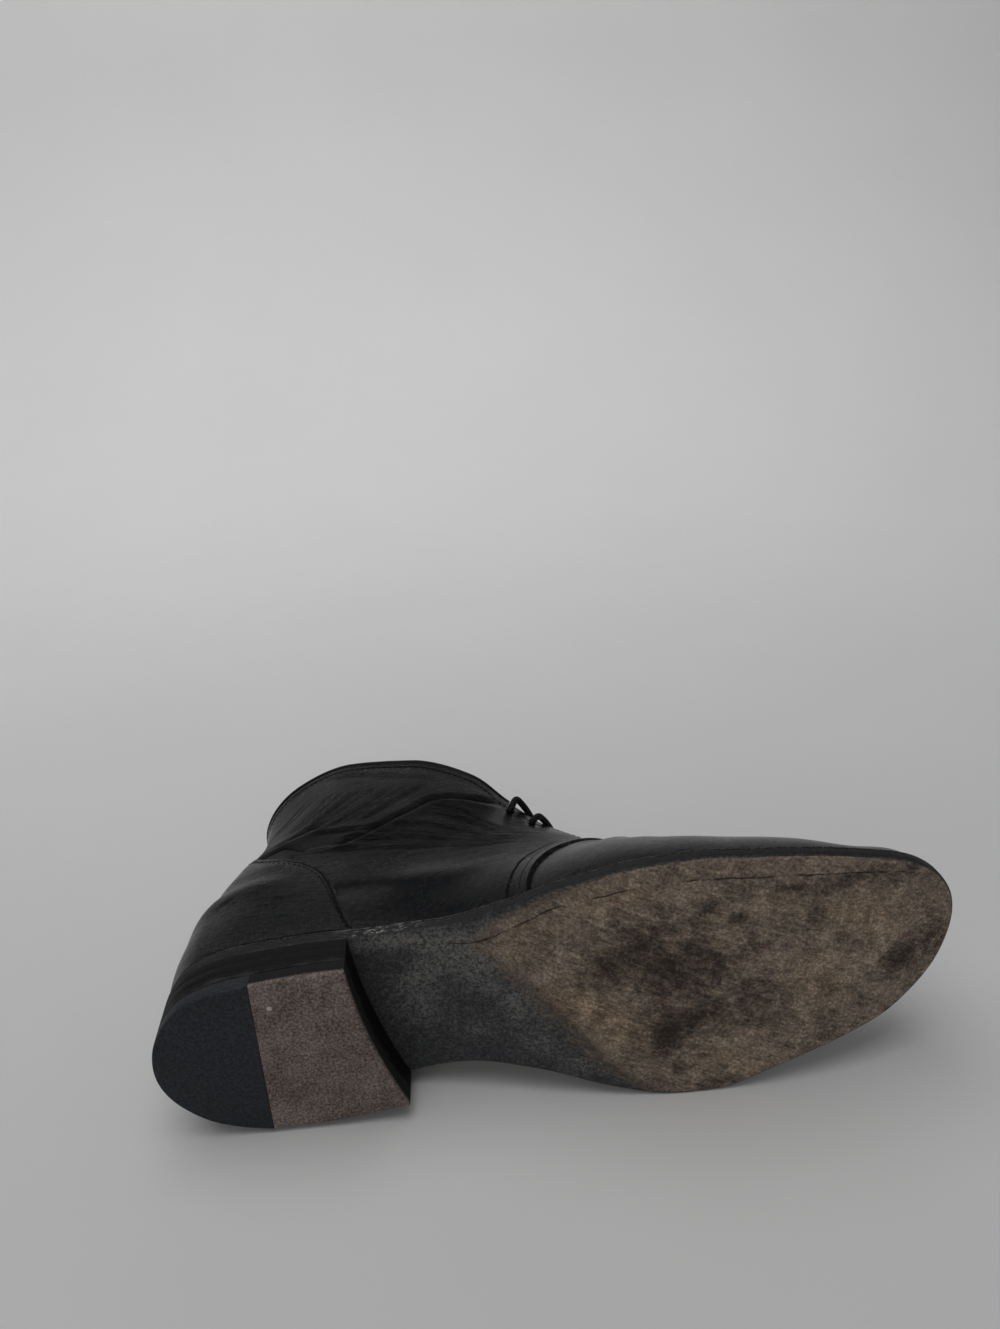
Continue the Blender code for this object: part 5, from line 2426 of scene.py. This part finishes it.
@dataclass(frozen=True)
class Studio:
    """Paper sweep, soft lights and the camera."""

    frame: BootFrame
    place: Triple = (150.5, -247.4, -287.8)
    target: Triple = (148.8, -133.8, 0.0)
    roll: float = 10.05
    focal_px: float = 1000.0
    long_side_px: float = 1329.0
    sensor: float = 36.0
    sweep_start: float = 0.75
    sweep_radius: float = 0.6
    sweep_top: float = 0.95
    sweep_front: float = -3.0
    sweep_half_width: float = 3.2
    glow: tuple[float, ...] = (0.86, 0.92, 1.0, 1.0)
    glow_strength: float = 0.1

    LAMPS = (
        Lamp("wall_wash", (-0.12, 0.55, 1.35), (-0.12, 1.1, 0.3), (2.8, 0.5), 4.2, (1.0, 0.99, 0.985), 110),
        Lamp("ceiling", (-0.4, -0.05, 1.8), (-0.2, 0.05, 0), (2.0, 1.8), 17.5, (1.0, 0.99, 0.98)),
        Lamp("fill", (-0.4, -1.7, 0.9), (0, 0, 0.05), (1.6, 1.2), 5.2, (1.0, 0.97, 0.93)),
    )

    def camera(self) -> None:
        """Sets the camera at the photograph's angle to the boot."""
        lens = bpy.data.cameras.new("camera")
        lens.sensor_width = self.sensor
        lens.lens = self.focal_px / self.long_side_px * self.sensor
        lens.clip_start = 0.01
        seen = bpy.data.objects.new("camera", lens)
        bpy.context.scene.collection.objects.link(seen)
        ahead = unit(np.array(self.target) - np.array(self.place))
        lateral = np.array([0.0, -1.0, 0.0])
        up = unit(lateral - (lateral @ ahead) * ahead)
        over = np.cross(ahead, up)
        roll = math.radians(self.roll)
        right = math.cos(roll) * over - math.sin(roll) * up
        rows = [self.frame.aim(way) for way in (right, np.cross(right, ahead), -ahead)]
        turn = Matrix(rows).transposed().to_4x4()
        seen.matrix_world = Matrix.Translation(Vector(self.frame.place(np.array(self.place)))) @ turn
        bpy.context.scene.camera = seen

    def sweep(self, paper: Material) -> None:
        """Lays the paper that is floor and backdrop in one.

        Args:
            paper: Its finish.
        """
        bend = np.linspace(0, math.pi / 2, 24)
        y = np.concatenate([
            [self.sweep_front, -1.0, 0.0],
            self.sweep_start + self.sweep_radius * np.sin(bend),
            [self.sweep_start + self.sweep_radius],
        ])
        z = np.concatenate([[0.0, 0.0, 0.0], self.sweep_radius * (1 - np.cos(bend)), [self.sweep_top]])
        x = np.linspace(-self.sweep_half_width, self.sweep_half_width, 9)
        Workshop.deselect()
        bpy.ops.mesh.primitive_grid_add(x_subdivisions=len(x) - 1, y_subdivisions=len(y) - 1, size=1)
        made = bpy.context.object
        made.name = "paper_sweep"
        points = np.stack(np.broadcast_arrays(x[None], y[:, None], z[:, None]), axis=-1)
        made.data.vertices.foreach_set("co", points.astype(np.float32).ravel())
        made.data.materials.append(paper)
        bpy.ops.object.shade_smooth()

    def lights(self) -> None:
        """Hangs the lamps and sets the room's own light."""
        for lamp in self.LAMPS:
            lamp.hang()
        world = bpy.data.worlds.new("room")
        world.use_nodes = True
        glow = world.node_tree.nodes["Background"]
        glow.inputs["Color"].default_value = self.glow
        glow.inputs["Strength"].default_value = self.glow_strength
        bpy.context.scene.world = world
        bpy.context.scene.view_settings.view_transform = "Standard"


def main() -> None:
    """Builds every sub-assembly, the sweep, the lights and the camera."""
    logging.basicConfig(level=logging.INFO, format="%(message)s")
    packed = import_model()
    frame = BootFrame.from_record(packed["record"])
    shop = Workshop(frame)
    last = Last()
    studio = Studio(frame)
    studio.camera()
    black = BlackLeather("upper_leather", wrinkled=True).make()
    inner = LiningLeather("insole_leather", (0.16, 0.115, 0.08), (0.08, 0.058, 0.043))
    binding = BlackLeather("binding_leather", pale=(0.003, 0.0032, 0.0036), rough=(0.5, 0.62))
    lift = LiftLeather("lift_leather", nail=tuple(frame.place(NAIL) / MM))
    thread = PlainFinish("black_thread", (0.002, 0.002, 0.002), (0.005, 0.005, 0.0055), 0.8, 2.0)
    paper = PlainFinish("paper", (0.70, 0.70, 0.70), (0.72, 0.72, 0.72), 0.9, 0.004)
    Outsole(shop, last).build(SoleLeather("sole_leather").make())
    Insole(shop, last).build(inner.make())
    Heel(shop, last).build(HeelLeather("heel_leather"), lift, HeelRubber("heel_rubber"))
    upper = Upper(shop, last)
    upper.build(black, LiningLeather("lining_leather").make())
    counter = Counter(shop, last)
    counter.build(black)
    Collar(shop, last).build(binding.make())
    Tongue(shop, last).build(BlackLeather("trim_leather").make())
    Laces(shop, last).build(WaxedCord("lace_cord").make())
    Stitching(shop, upper, counter).build(thread.make())
    studio.sweep(paper.make())
    studio.lights()


if __name__ == "__main__":
    main()
